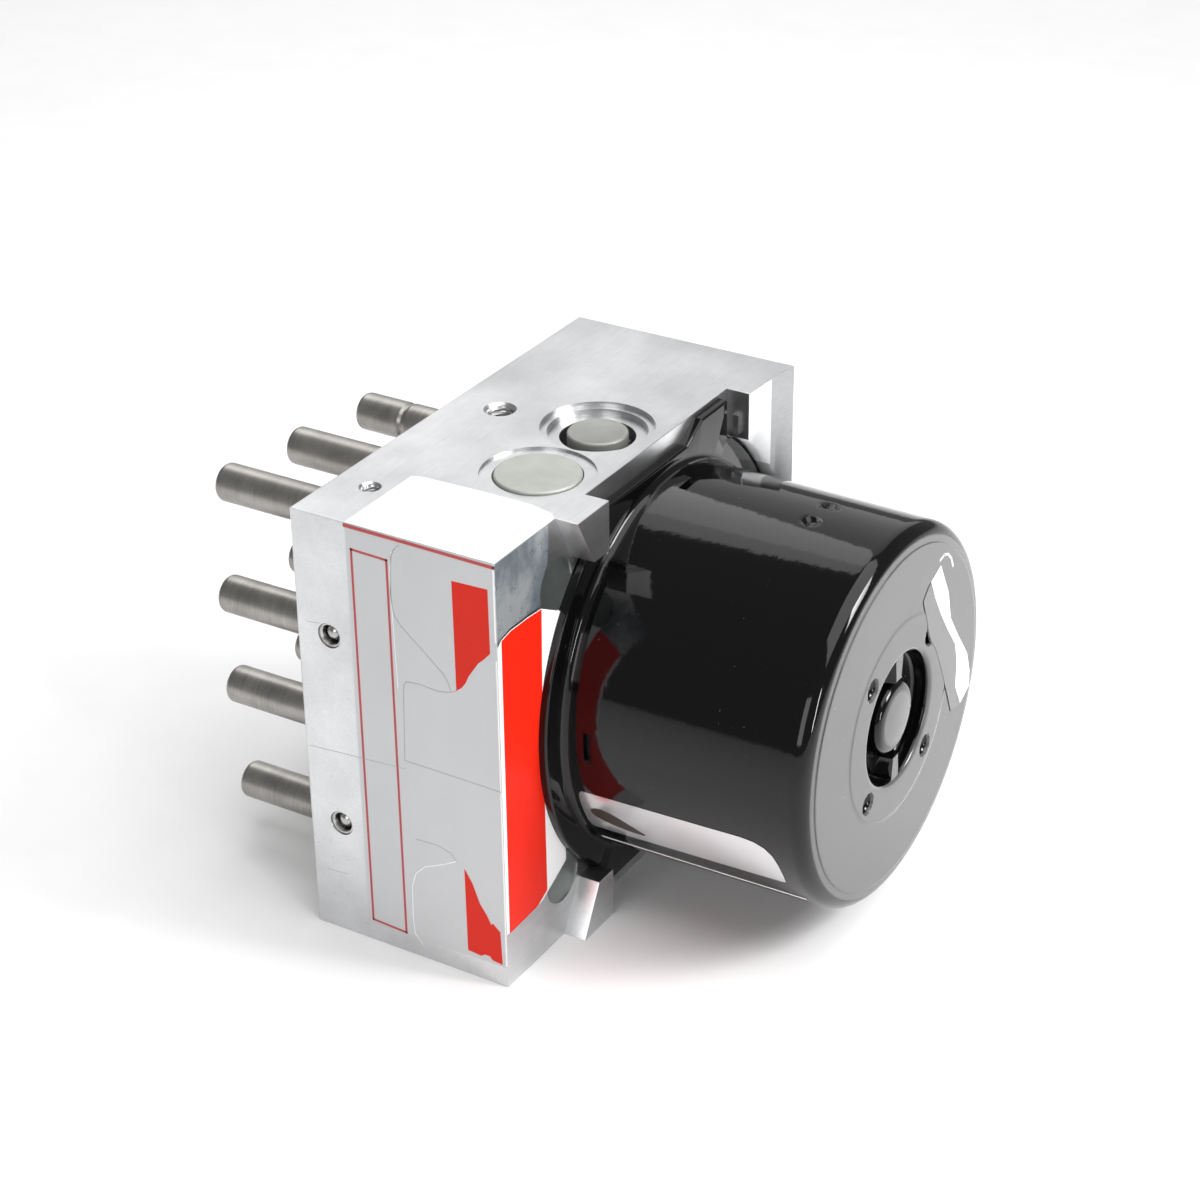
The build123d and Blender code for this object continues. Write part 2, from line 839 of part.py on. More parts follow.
def pump_plug():
    """Turned cover of a pump bore, with a rounded cup in a deep groove."""
    body = pump_groove_radius - pump_press_clearance
    profile = [
        (0, pump_cup_top),
        (pump_cup_radius - pump_cup_edge, pump_cup_top),
        (pump_cup_radius - 0.3 * pump_cup_edge, pump_cup_top + 0.3 * pump_cup_edge),
        (pump_cup_radius, pump_cup_top + pump_cup_edge),
        (pump_cup_radius, pump_cup_foot),
        (body, pump_cup_foot),
        (body, pump_groove_depth),
        (0, pump_groove_depth),
    ]
    return turned(profile, (pump_x, motor_y, block_height), DOWN)


def pump_sleeve():
    """Liner that guides a pump piston."""
    start = (pump_x, motor_y, block_height - pump_groove_depth)
    length = pump_sleeve_end - pump_groove_depth
    bore = pump_piston_radius + piston_clearance
    return ring(pump_sleeve_radius, bore, length, start, DOWN)


def pump_piston():
    """Steel plunger that rests just clear of the eccentric ring's sweep."""
    start = (pump_x, motor_y, block_height - piston_top_depth)
    length = block_height - piston_top_depth - mid_z - piston_reach
    return rod(pump_piston_radius, length, start, DOWN)


def pump_spring():
    """Return spring between the plug and the piston."""
    length = piston_top_depth - pump_groove_depth
    blank = coil(pump_spring_radius, pump_spring_wire, length, 2.5)
    return Plane(origin=(pump_x, motor_y, block_height - pump_groove_depth), z_dir=DOWN) * blank


def accumulator_plug():
    """Cap with a hollow underside that closes an accumulator bore."""
    radius = accumulator_radius - accumulator_cap_clearance
    hollow = accumulator_spring_radius - accumulator_spring_wire
    profile = [
        (0, 0),
        (radius - 0.3, 0),
        (radius, 0.3),
        (radius, accumulator_cap_thickness),
        (hollow, accumulator_cap_thickness),
        (hollow, accumulator_cap_thickness - 1.2),
        (0, accumulator_cap_thickness - 1.2),
    ]
    return turned(profile, (accumulator_x, accumulator_y, block_height), DOWN)


def accumulator_piston_top():
    """Depth of the piston's spring face below the block's end."""
    return accumulator_depth - accumulator_rest_gap - accumulator_piston_length


def accumulator_piston():
    """Cup piston with a groove for its ring."""
    radius = accumulator_radius - accumulator_piston_clearance
    start = accumulator_piston_top()
    end = start + accumulator_piston_length
    groove = start + 4.5
    profile = [
        (0, start + 2.5),
        (4.5, start + 2.5),
        (4.5, start),
        (radius, start),
        (radius, groove),
        (radius - o_ring_depth, groove),
        (radius - o_ring_depth, groove + o_ring_width),
        (radius, groove + o_ring_width),
        (radius, end),
        (0, end),
    ]
    return turned(profile, (accumulator_x, accumulator_y, block_height), DOWN)


def accumulator_o_ring():
    """Seal in the piston's groove."""
    radius = accumulator_radius - accumulator_piston_clearance
    top = block_height - accumulator_piston_top() - 4.5
    return ring(
        radius, radius - o_ring_depth, o_ring_width, (accumulator_x, accumulator_y, top), DOWN
    )


def accumulator_spring():
    """Spring between the cap and the piston."""
    length = accumulator_piston_top() - accumulator_cap_thickness
    blank = coil(accumulator_spring_radius, accumulator_spring_wire, length, 3, steps=10)
    top = block_height - accumulator_cap_thickness
    return Plane(origin=(accumulator_x, accumulator_y, top), z_dir=DOWN) * blank


def drilling_plugs():
    """Two rings pressed into the closed drillings."""
    return [
        ring(
            plug_ring_radius,
            plug_ring_bore,
            plug_ring_length,
            (x, near_face_y + plug_sink, z),
            TOWARDS_FAR,
        )
        for x, z in drilling_places()
    ]


def drilling_balls():
    """Two balls that spread the rings."""
    radius = plug_ring_bore - plug_ball_clearance
    y = near_face_y + plug_sink + radius
    return [Pos(x, y, z) * Sphere(radius) for x, z in drilling_places()]


def valve_sleeve(y, z, stem):
    """Closed tube over a valve, with the collar that is staked into the block."""
    inner = stem_radius - stem_wall
    tip_start = stem - stem_radius
    rim = [
        Line((inner, -collar_depth), (collar_radius, -collar_depth)),
        Line((collar_radius, -collar_depth), (collar_radius, -collar_sink)),
        Line((collar_radius, -collar_sink), (stem_radius, -collar_sink)),
        Line((stem_radius, -collar_sink), (stem_radius, tip_start)),
        ThreePointArc(
            (stem_radius, tip_start),
            (stem_radius * cos(pi / 4), tip_start + stem_radius * sin(pi / 4)),
            (0, stem),
        ),
        Line((0, stem), (0, tip_start + stem_crown)),
        Line((0, tip_start + stem_crown), (inner, tip_start + stem_crown)),
        Line((inner, tip_start + stem_crown), (inner, -collar_depth)),
    ]
    face = Plane.XZ * make_face(rim)
    solid = revolve(face, axis=Axis.Z)
    return Plane(origin=(valve_face_x, y, z), z_dir=TOWARDS_VALVES) * solid


def valve_plunger(y, z, stem, kind):
    """Armature and pin of one valve, at rest."""
    if kind == "inlet":
        top = stem - stem_radius - inlet_headroom
        pin_end = -seat_depth + valve_stroke + 0.1
        bottom = pole_height + valve_gap
    else:
        top = stem - stem_radius - outlet_headroom
        pin_end = -seat_depth + seat_contact_gap
        bottom = pole_height + 0.05
    profile = [
        (0, pin_end),
        (pin_radius, pin_end),
        (pin_radius, bottom),
        (armature_radius, bottom),
        (armature_radius, top),
        (0, top),
    ]
    return turned(profile, (valve_face_x, y, z), TOWARDS_VALVES)


def valve_body(y, z, kind):
    """Pole and seat of one valve, turned in one piece."""
    pole = stem_radius - stem_wall - body_clearance
    body = valve_bore_radius - body_clearance
    if kind == "inlet":
        mouth = [
            (pole, pole_height),
            (spring_pocket_radius, pole_height),
            (spring_pocket_radius, pole_height - spring_pocket_depth),
            (pin_bore_radius, pole_height - spring_pocket_depth),
        ]
    else:
        mouth = [(pole, pole_height), (pin_bore_radius, pole_height)]
    profile = [
        (0, -valve_bore_depth),
        (body, -valve_bore_depth),
        (body, -collar_depth),
        (pole, -collar_depth),
        *mouth,
        (pin_bore_radius, -seat_depth),
        (0, -seat_depth),
    ]
    return turned(profile, (valve_face_x, y, z), TOWARDS_VALVES)


def valve_springs():
    """Return springs: below the armature of an inlet valve, above that of an outlet valve."""
    low = coil(
        valve_spring_radius, valve_spring_wire, spring_pocket_depth - 2 * spring_room, 2.5, steps=6
    )
    high_length = outlet_headroom + stem_crown - valve_gap - 2 * spring_room
    high = coil(valve_spring_radius, valve_spring_wire, high_length, 2.5, steps=6)
    springs = []
    for y, z, stem, kind in valve_places():
        if kind == "inlet":
            start = pole_height - spring_pocket_depth + spring_room
            blank = low
        else:
            start = stem - stem_radius + stem_crown - spring_room - high_length
            blank = high
        seat = Plane(origin=(valve_face_x - start, y, z), z_dir=TOWARDS_VALVES)
        springs.append(seat * blank)
    return springs


def save(name, shape):
    """Write one node, as one solid or as a group of separate solids."""
    if isinstance(shape, list):
        shape = Compound([solid for part in shape for solid in part.solids()])
    export_step(shape, f"parts/{name}.step")


def main():
    save("valve_block", valve_block())
    save("motor_can", motor_can())
    save("motor_magnets", motor_magnets())
    save("motor_shaft", motor_shaft())
    save("armature_core", armature_core())
    save("armature_windings", armature_windings())
    save("commutator", commutator())
    save("rear_bearing", rear_bearing())
    save("front_bearing", front_bearing())
    save("eccentric", eccentric())
    save("eccentric_bearing", eccentric_bearing())
    save("brush_plate", brush_plate())
    save("brush_near", brush(-1))
    save("brush_far", brush(1))
    save("brush_springs", brush_springs())
    save("terminal_pins", [terminal_blade(-1), terminal_blade(1)])
    stacks = {
        "pump_plug": pump_plug(),
        "pump_sleeve": pump_sleeve(),
        "pump_piston": pump_piston(),
        "pump_spring": pump_spring(),
        "accumulator_plug": accumulator_plug(),
        "accumulator_piston": accumulator_piston(),
        "accumulator_o_ring": accumulator_o_ring(),
        "accumulator_spring": accumulator_spring(),
    }
    for name, shape in stacks.items():
        save(f"{name}_top", shape)
        save(f"{name}_bottom", upside_down(shape))
    save("drilling_plugs", drilling_plugs())
    save("drilling_balls", drilling_balls())
    for number, (y, z, stem, kind) in enumerate(valve_places(), start=1):
        save(f"valve_sleeve_{number}", valve_sleeve(y, z, stem))
        save(f"valve_plunger_{number}", valve_plunger(y, z, stem, kind))
    save("valve_bodies", [valve_body(y, z, kind) for y, z, _, kind in valve_places()])
    save("valve_springs", valve_springs())


main()
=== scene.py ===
import json
import logging
import math
from collections.abc import Sequence
from dataclasses import dataclass
from enum import Enum
from typing import Any

import bmesh
import bpy
from mathutils import Matrix, Vector


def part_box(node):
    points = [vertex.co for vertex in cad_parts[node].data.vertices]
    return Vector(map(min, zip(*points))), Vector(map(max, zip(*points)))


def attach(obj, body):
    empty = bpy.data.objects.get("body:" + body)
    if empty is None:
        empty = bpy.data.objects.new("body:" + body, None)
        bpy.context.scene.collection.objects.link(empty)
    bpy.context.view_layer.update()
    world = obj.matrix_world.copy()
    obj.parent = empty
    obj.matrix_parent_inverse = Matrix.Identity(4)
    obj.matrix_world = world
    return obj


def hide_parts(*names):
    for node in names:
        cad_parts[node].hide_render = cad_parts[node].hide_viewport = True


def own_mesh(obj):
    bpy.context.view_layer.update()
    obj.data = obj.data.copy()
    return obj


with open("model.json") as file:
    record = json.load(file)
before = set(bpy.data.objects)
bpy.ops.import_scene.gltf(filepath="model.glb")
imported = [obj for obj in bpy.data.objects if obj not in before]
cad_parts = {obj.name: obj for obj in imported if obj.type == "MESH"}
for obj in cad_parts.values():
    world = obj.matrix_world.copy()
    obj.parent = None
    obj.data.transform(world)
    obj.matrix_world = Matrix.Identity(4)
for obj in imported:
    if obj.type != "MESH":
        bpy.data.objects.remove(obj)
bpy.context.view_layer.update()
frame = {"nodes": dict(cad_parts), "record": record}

LOG = logging.getLogger("abs_module")
MM = 0.001
Point = tuple[float, float, float]
Pair = tuple[float, float]
Outline = Sequence[Pair]
Mesh = bmesh.types.BMesh
EVEN: Point = (1.0, 1.0, 1.0)
CREASE = 32.0
MERGE = 1e-5
ON_AXIS = 1e-6


class Heading(Enum):
    """Directions that turned and pushed shapes run in."""

    MOTOR = (1.0, 0.0, 0.0)
    UP = (0.0, 0.0, 1.0)
    FAR = (0.0, 1.0, 0.0)
    NEAR = (0.0, -1.0, 0.0)


class End(Enum):
    """The two mirrored ends of the block."""

    TOP = "top"
    BOTTOM = "bottom"


@dataclass(frozen=True)
class Datums:
    """Faces and axes that every sub-assembly is placed from, in millimetres."""

    motor_face: float = 12.0
    near_face: float = -50.75
    far_face: float = 50.75
    height: float = 92.0
    motor_y: float = 6.75
    pump_x: float = -1.5
    store_x: float = -0.7
    store_y: float = -16.15

    @property
    def middle(self) -> float:
        """Half the block's height, where the motor's axis lies."""
        return self.height / 2

    def round_motor(self, x: float, radius: float, angle: float) -> Point:
        """Point at an X, a distance and an angle from the motor's axis."""
        return x, self.motor_y + radius * math.cos(angle), self.middle + radius * math.sin(angle)


D = Datums()


# ---------------------------------------------------------------- shader maths


class Wire:
    """A shader value that takes part in Python sums."""

    def __init__(self, sheet: "Sheet", socket: Any) -> None:
        """Keep the sheet that the value lives on and its socket."""
        self.sheet = sheet
        self.socket = socket

    def _sum(self, operation: str, first: Any, second: Any) -> "Wire":
        """Result of one Math node on two values or wires."""
        settings = {"operation": operation}
        return self.sheet.add("ShaderNodeMath", settings, {0: first, 1: second}, "Value")

    def __add__(self, other: Any) -> "Wire":
        """Sum."""
        return self._sum("ADD", self, other)

    def __radd__(self, other: Any) -> "Wire":
        """Sum, from the right."""
        return self._sum("ADD", other, self)

    def __sub__(self, other: Any) -> "Wire":
        """Difference."""
        return self._sum("SUBTRACT", self, other)

    def __rsub__(self, other: Any) -> "Wire":
        """Difference, from the right."""
        return self._sum("SUBTRACT", other, self)

    def __mul__(self, other: Any) -> "Wire":
        """Product."""
        return self._sum("MULTIPLY", self, other)

    def __rmul__(self, other: Any) -> "Wire":
        """Product, from the right."""
        return self._sum("MULTIPLY", other, self)

    def rise(self, low: float, high: float) -> "Wire":
        """Soft step from 0 to 1.

        Args:
            low: where the step starts.
            high: where it ends.

        Returns:
            The step.
        """
        settings = {"interpolation_type": "SMOOTHSTEP"}
        inputs = {"Value": self, "From Min": low, "From Max": high, "To Min": 0.0, "To Max": 1.0}
        return self.sheet.add("ShaderNodeMapRange", settings, inputs, "Result")


class Sheet:
    """One material's nodes, with the few ways of making them."""

    def __init__(self, name: str) -> None:
        """Start an empty node material with its output and shader.

        Args:
            name: the material's name.
        """
        self.material = bpy.data.materials.new(name)
        self.material.use_nodes = True
        self.tree = self.material.node_tree
        self.tree.nodes.clear()
        self.output = self.tree.nodes.new("ShaderNodeOutputMaterial")
        self.shader = self.tree.nodes.new("ShaderNodeBsdfPrincipled")
        self.tree.links.new(self.shader.outputs["BSDF"], self.output.inputs["Surface"])

    def plug(self, target: Any, value: Any) -> None:
        """Link a wire to a socket, or set the socket's own value.

        Args:
            target: the socket.
            value: a wire or a plain value.
        """
        if isinstance(value, Wire):
            self.tree.links.new(value.socket, target)
        else:
            target.default_value = value

    def add(
        self, kind: str, settings: dict[str, Any], inputs: dict[Any, Any], result: Any
    ) -> Wire:
        """Add one node.

        Args:
            kind: the node's type.
            settings: its properties, and "stops" for a colour ramp.
            inputs: values or wires by socket name or number.
            result: the name or number of the output that is wanted.

        Returns:
            The wanted output as a wire.
        """
        node = self.tree.nodes.new(kind)
        for key, value in settings.items():
            if key == "stops":
                self._fill_ramp(node.color_ramp, value)
            else:
                setattr(node, key, value)
        for key, value in inputs.items():
            self.plug(node.inputs[key], value)
        return Wire(self, node.outputs[result])

    @staticmethod
    def _fill_ramp(ramp: Any, stops: Sequence[tuple[float, Sequence[float]]]) -> None:
        """Give a colour ramp its stops.

        Args:
            ramp: the ramp, as Blender makes it.
            stops: each stop's place and colour, in order.
        """
        while len(ramp.elements) > len(stops):
            ramp.elements.remove(ramp.elements[-1])
        while len(ramp.elements) < len(stops):
            ramp.elements.new(1.0)
        for element, (place, colour) in zip(ramp.elements, stops):
            element.position = place
            element.color = (*colour, 1.0)

    def place(self) -> Wire:
        """Object coordinates."""
        return self.add("ShaderNodeTexCoord", {}, {}, "Object")

    def axes(self, vector: Wire) -> tuple[Wire, Wire, Wire]:
        """The three parts of a vector."""
        parts = [self.add("ShaderNodeSeparateXYZ", {}, {"Vector": vector}, n) for n in "XYZ"]
        return parts[0], parts[1], parts[2]

    def noise(self, scale: float, detail: float, rough: float, stretch: Point = EVEN) -> Wire:
        """Grey noise on Object coordinates, between about 0 and 1.

        Args:
            scale: how fine it is, in lumps a metre.
            detail: how many finer layers lie over it.
            rough: how strong those layers are.
            stretch: what the coordinates are multiplied by first, along each axis.

        Returns:
            The grey value.
        """
        inputs = {"Vector": self.place(), "Scale": stretch}
        vector = self.add("ShaderNodeMapping", {}, inputs, "Vector")
        inputs = {"Vector": vector, "Scale": scale, "Detail": detail, "Roughness": rough}
        return self.add("ShaderNodeTexNoise", {}, inputs, "Fac")

    def blend(self, share: Any, first: Any, second: Any) -> Wire:
        """Mix two colours."""
        settings = {"data_type": "RGBA", "blend_type": "MIX"}
        return self.add("ShaderNodeMix", settings, {0: share, 6: first, 7: second}, 2)

    def ramp(self, value: Wire, stops: Sequence[tuple[float, Sequence[float]]]) -> Wire:
        """Colour ramp."""
        return self.add("ShaderNodeValToRGB", {"stops": stops}, {"Fac": value}, "Color")

    def bump(self, height: Wire, distance: float, strength: float) -> Wire:
        """Surface relief from a height in units of distance."""
        inputs = {"Height": height, "Distance": distance, "Strength": strength}
        return self.add("ShaderNodeBump", {}, inputs, "Normal")

    def finish(self, **sockets: Any) -> bpy.types.Material:
        """Set the shader's sockets.

        Args:
            sockets: values or wires by socket name, with underscores for spaces.

        Returns:
            The finished material.
        """
        for key, value in sockets.items():
            name = key.replace("_", " ").title().replace("Ior", "IOR")
            self.plug(self.shader.inputs[name], value)
        return self.material


def tint(colour: Point, share: float = 1.0) -> tuple[float, float, float, float]:
    """Opaque colour, darkened to a share of itself."""
    return (colour[0] * share, colour[1] * share, colour[2] * share, 1.0)


# ---------------------------------------------------------------- finishes


class Grain(Enum):
    """Which way the tool marks of a machined face run."""

    ALONG_Y = (900.0, 30.0, 900.0)
    ROUND = (1400.0, 40.0, 40.0)


@dataclass(frozen=True)
class MachinedAluminium:
    """Milled aluminium: tool marks, faint stains, handling marks, painted shade on the far ear."""

    name: str = "machined_aluminium"
    bright: Point = (0.79, 0.793, 0.80)
    dull: Point = (0.56, 0.565, 0.575)
    grain: Grain = Grain.ALONG_Y
    rough: float = 0.21
    # painted shade: darker colour for the far ear's sides past the motor face, below the top face
    ear: Point = (0.3, 0.303, 0.308)
    ear_shade_from: Point = (0.0121, 0.043, 0.0917)
    ear_shade_edge: Point = (0.0001, 0.0002, 0.0001)
    speck: Point = (0.35, 0.35, 0.35)
    relief: float = 0.00002

    def material(self) -> bpy.types.Material:
        """Build the finish.

        Returns:
            The material.
        """
        s = Sheet(self.name)
        marks = s.noise(3.0, 5.0, 0.6, self.grain.value)
        clouds = s.noise(45.0, 4.0, 0.62)
        specks = s.noise(900.0, 2.0, 0.5).rise(0.68, 0.8)
        share = (clouds * 0.75 + marks * 0.3 - 0.05).rise(0.25, 0.8)
        colour = s.blend(share, tint(self.dull), tint(self.bright))
        across, along, up = (
            part.rise(start, start + edge)
            for part, start, edge in zip(s.axes(s.place()), self.ear_shade_from, self.ear_shade_edge)
        )
        # painted shade mask over the far ear's sides
        ear = across * along * (1.0 - up)
        colour = s.blend(ear * (marks * 0.3 + 0.8), colour, tint(self.ear))
        colour = s.blend(specks * 0.35, colour, tint(self.speck))
        roughness = self.rough + clouds * 0.12 + marks * 0.08
        normal = s.bump(marks * 0.7 - specks * 0.6, self.relief, 0.7)
        return s.finish(base_color=colour, metallic=1.0, roughness=roughness, normal=normal)


@dataclass(frozen=True)
class GlossBlack:
    """Stoved black enamel, orange peel and dust; the end face's grey is a painted reflection."""

    name: str = "gloss_black_enamel"
    base: Point = (0.0022, 0.0022, 0.0026)
    rough: float = 0.05
    # painted reflection: past end_from along X the black turns grey, on the end face, ring and cup
    painted_reflection_grey: float = 0.085
    end_from: float = 0.0644
    end_edge: float = 0.0001
    speck: Point = (0.06, 0.06, 0.06)
    relief: float = 0.00006
    ior: float = 1.42

    def material(self) -> bpy.types.Material:
        """Build the finish.

        Returns:
            The material.
        """
        s = Sheet(self.name)
        peel = s.noise(160.0, 2.0, 0.4)
        fine = s.noise(700.0, 2.0, 0.5)
        dust = s.noise(1500.0, 1.0, 0.4).rise(0.76, 0.84)
        # painted reflection: mask of the end face, which is painted grey instead of black
        end = s.axes(s.place())[0].rise(self.end_from, self.end_from + self.end_edge)
        colour = s.blend(end, tint(self.base), tint((1.0, 1.0, 1.02), self.painted_reflection_grey))
        colour = s.blend(dust * 0.5, colour, tint(self.speck))
        roughness = self.rough + dust * 0.3 + fine * 0.03
        normal = s.bump(peel * 0.7 + fine * 0.3, self.relief, 0.7)
        return s.finish(base_color=colour, roughness=roughness, normal=normal, ior=self.ior)


@dataclass(frozen=True)
class BrushedSteel:
    """Steel with fine marks from turning or drawing."""

    name: str
    base: Point = (0.56, 0.545, 0.53)
    dark: Point = (0.36, 0.35, 0.34)
    grain: Grain = Grain.ROUND
    rough: float = 0.3
    relief: float = 0.000012

    def material(self) -> bpy.types.Material:
        """Build the finish.

        Returns:
            The material.
        """
        s = Sheet(self.name)
        marks = s.noise(4.0, 6.0, 0.65, self.grain.value)
        clouds = s.noise(180.0, 3.0, 0.6)
        share = (marks * 0.6 + clouds * 0.5).rise(0.3, 0.8)
        colour = s.blend(share, tint(self.dark), tint(self.base))
        normal = s.bump(marks, self.relief, 0.8)
        roughness = self.rough + marks * 0.15
        return s.finish(base_color=colour, metallic=1.0, roughness=roughness, normal=normal)


@dataclass(frozen=True)
class MattPlated:
    """Grey-green matt plating with small marks."""

    name: str = "matt_plated_steel"
    base: Point = (0.46, 0.47, 0.44)
    pit: Point = (0.3, 0.3, 0.28)
    relief: float = 0.00002

    def material(self) -> bpy.types.Material:
        """Build the finish.

        Returns:
            The material.
        """
        s = Sheet(self.name)
        clouds = s.noise(220.0, 4.0, 0.6)
        grit = s.noise(3000.0, 2.0, 0.5)
        pits = s.noise(700.0, 2.0, 0.5).rise(0.7, 0.78)
        share = (clouds + grit * 0.3).rise(0.3, 0.9)
        colour = s.blend(share, tint(self.base, 0.86), tint(self.base))
        colour = s.blend(pits * 0.4, colour, tint(self.pit))
        normal = s.bump(grit * 0.6 - pits, self.relief, 0.6)
        roughness = 0.48 + grit * 0.1
        return s.finish(base_color=colour, metallic=0.6, roughness=roughness, normal=normal)


@dataclass(frozen=True)
class PrintedFilm:
    """Label film or print on it, with a faint unevenness."""

    name: str
    base: Point
    metallic: float = 0.0
    rough: float = 0.32
    waviness: float = 0.5
    gloss: float = 0.5

    def material(self) -> bpy.types.Material:
        """Build the finish.

        Returns:
            The material.
        """
        s = Sheet(self.name)
        waves = s.noise(70.0, 3.0, 0.5, (1.0, 1.0, 0.5))
        grit = s.noise(2500.0, 2.0, 0.5)
        share = (waves * 0.8 + grit * 0.3).rise(0.25, 0.85)
        colour = s.blend(share, tint(self.base, 0.93), tint(self.base))
        normal = s.bump(waves + grit * 0.04, 0.0002, 0.2 * self.waviness)
        return s.finish(
            base_color=colour,
            metallic=self.metallic,
            roughness=self.rough + waves * 0.08,
            specular_ior_level=self.gloss,
            normal=normal,
        )


@dataclass(frozen=True)
class MottledFilm:
    """Clear film over the milled face, blue-grey and blotched."""

    name: str = "mottled_film"
    stops: tuple[tuple[float, Point], ...] = (
        (0.36, (0.22, 0.27, 0.32)), (0.5, (0.42, 0.48, 0.54)), (0.62, (0.84, 0.88, 0.90)),
    )

    def material(self) -> bpy.types.Material:
        """Build the finish.

        Returns:
            The material.
        """
        s = Sheet(self.name)
        clouds = s.noise(75.0, 4.0, 0.6, (1.0, 1.0, 0.55))
        fine = s.noise(500.0, 4.0, 0.6)
        colour = s.ramp(clouds * 0.86 + fine * 0.14, self.stops)
        normal = s.bump(clouds, 0.00006, 0.5)
        roughness = 0.2 + fine * 0.2
        return s.finish(base_color=colour, metallic=0.75, roughness=roughness, normal=normal)


@dataclass(frozen=True)
class PlainMoulding:
    """Moulded, cast or pressed material with a fine surface grain."""

    name: str
    base: Point
    metallic: float = 0.0
    rough: float = 0.45
    grain_scale: float = 900.0

    def material(self) -> bpy.types.Material:
        """Build the finish.

        Returns:
            The material.
        """
        s = Sheet(self.name)
        grit = s.noise(self.grain_scale, 3.0, 0.6)
        clouds = s.noise(120.0, 2.0, 0.5)
        share = (grit * 0.5 + clouds * 0.5).rise(0.3, 0.7)
        colour = s.blend(share, tint(self.base, 0.75), tint(self.base))
        normal = s.bump(grit, 0.00003, 0.5)
        roughness = self.rough + grit * 0.12
        return s.finish(
            base_color=colour, metallic=self.metallic, roughness=roughness, normal=normal
        )


class Finishes:
    """The finishes of this object, each built once."""

    def __init__(self) -> None:
        """Build every finish."""
        recipes = {
            "block": MachinedAluminium(),
            # the far ear's painted shade is moved out of reach for the tabs
            "tab": MachinedAluminium("bent_aluminium", ear_shade_from=(1.0, 1.0, 1.0)),
            "can": GlossBlack(),
            # clear film on the can's end face: a lighter grey, painted as a reflection
            "clear_film": GlossBlack("clear_film", rough=0.08, painted_reflection_grey=0.11),
            "stainless": BrushedSteel(
                "drawn_stainless", (0.47, 0.452, 0.43), (0.27, 0.258, 0.245)
            ),
            "plug_steel": MattPlated(),
            "cup_steel": MattPlated("matt_cup_steel", (0.33, 0.335, 0.315)),
            "bearing_steel": BrushedSteel("ground_steel", (0.62, 0.62, 0.62), rough=0.18),
            "core_iron": PlainMoulding("core_iron", (0.2, 0.2, 0.21), 0.8, 0.5),
            "copper": PlainMoulding("enamelled_copper", (0.62, 0.3, 0.14), 0.9, 0.35, 1500.0),
            "magnet": PlainMoulding("ferrite", (0.05, 0.05, 0.055), 0.1, 0.6),
            "moulding": PlainMoulding("black_moulding", (0.022, 0.022, 0.023), 0.0, 0.42),
            "carbon": PlainMoulding("carbon", (0.03, 0.03, 0.03), 0.3, 0.55),
            "spring_wire": BrushedSteel("spring_wire", (0.45, 0.45, 0.45), rough=0.3),
            "seal": PlainMoulding("seal_rubber", (0.018, 0.018, 0.018), 0.0, 0.6),
            "tinned": BrushedSteel("tinned_blade", (0.72, 0.72, 0.7), rough=0.25),
            "film": PrintedFilm("silver_film", (0.56, 0.565, 0.575), 0.25, 0.36),
            "white_film_and_highlights": PrintedFilm("white_film_and_highlights", (0.93, 0.93, 0.93), 0.0, 0.28),
            "red_bar": PrintedFilm("red_print", (0.80, 0.016, 0.003), 0.0, 0.4, gloss=0.25),
            "red_block": PrintedFilm(
                "red_block_print", (0.66, 0.018, 0.006), 0.0, 0.42, gloss=0.2
            ),
            "red_line": PrintedFilm("red_line_print", (0.45, 0.05, 0.055), 0.0, 0.36),
            "torn_edge": PrintedFilm("torn_film_edge", (0.36, 0.36, 0.35), 0.0, 0.5),
            "mottled": MottledFilm(),
            "spot": MachinedAluminium(
                "spot_face", (0.36, 0.39, 0.375), (0.2, 0.22, 0.21), Grain.ROUND, 0.38
            ),
            # painted shade: darker aluminium for the thread turns, so the tapped holes look dark
            # inside
            "tapped": MachinedAluminium(
                "tapped_wall_painted_shade", (0.5, 0.5, 0.5), (0.3, 0.3, 0.3), Grain.ROUND, 0.32
            ),
            "foil": PrintedFilm("bright_foil", (0.72, 0.72, 0.73), 0.85, 0.16, 1.0),
            "streak": PlainMoulding("label_streak", (0.035, 0.02, 0.012), 0.2, 0.3),
        }
        self.made = {key: recipe.material() for key, recipe in recipes.items()}

    def __getitem__(self, key: str) -> bpy.types.Material:
        """The finish of a material slot or a printed area."""
        return self.made[key]


# ---------------------------------------------------------------- mesh work


def frame_along(heading: Heading, point: Point) -> Matrix:
    """Matrix that takes local Z to a heading and the origin to a point.

    Args:
        heading: where local Z points.
        point: where the origin goes, in millimetres.

    Returns:
        The matrix, in metres.
    """
    z = Vector(heading.value)
    x = Vector((0, 0, 1)) if abs(z.z) < 0.5 else Vector((1, 0, 0))
    y = z.cross(x)
    turn = Matrix((x, y, z)).transposed().to_4x4()
    return Matrix.Translation(Vector(point) * MM) @ turn @ Matrix.Scale(MM, 4)


def smooth(data: bpy.types.Mesh, crease: float) -> None:
    """Shade a mesh smooth, but keep edges sharp that turn by more than so many degrees."""
    data.shade_smooth()
    data.set_sharp_from_angle(angle=math.radians(crease))


def to_object(name: str, mesh: Mesh, crease: float = CREASE) -> bpy.types.Object:
    """Turn a bmesh into a linked object with smooth faces and sharp edges.

    Args:
        name: the object's name.
        mesh: the shape, in metres.
        crease: edges that turn by more than this many degrees stay sharp.

    Returns:
        The object.
    """
    data = bpy.data.meshes.new(name)
    mesh.to_mesh(data)
    mesh.free()
    smooth(data, crease)
    item = bpy.data.objects.new(name, data)
    bpy.context.scene.collection.objects.link(item)
    return item


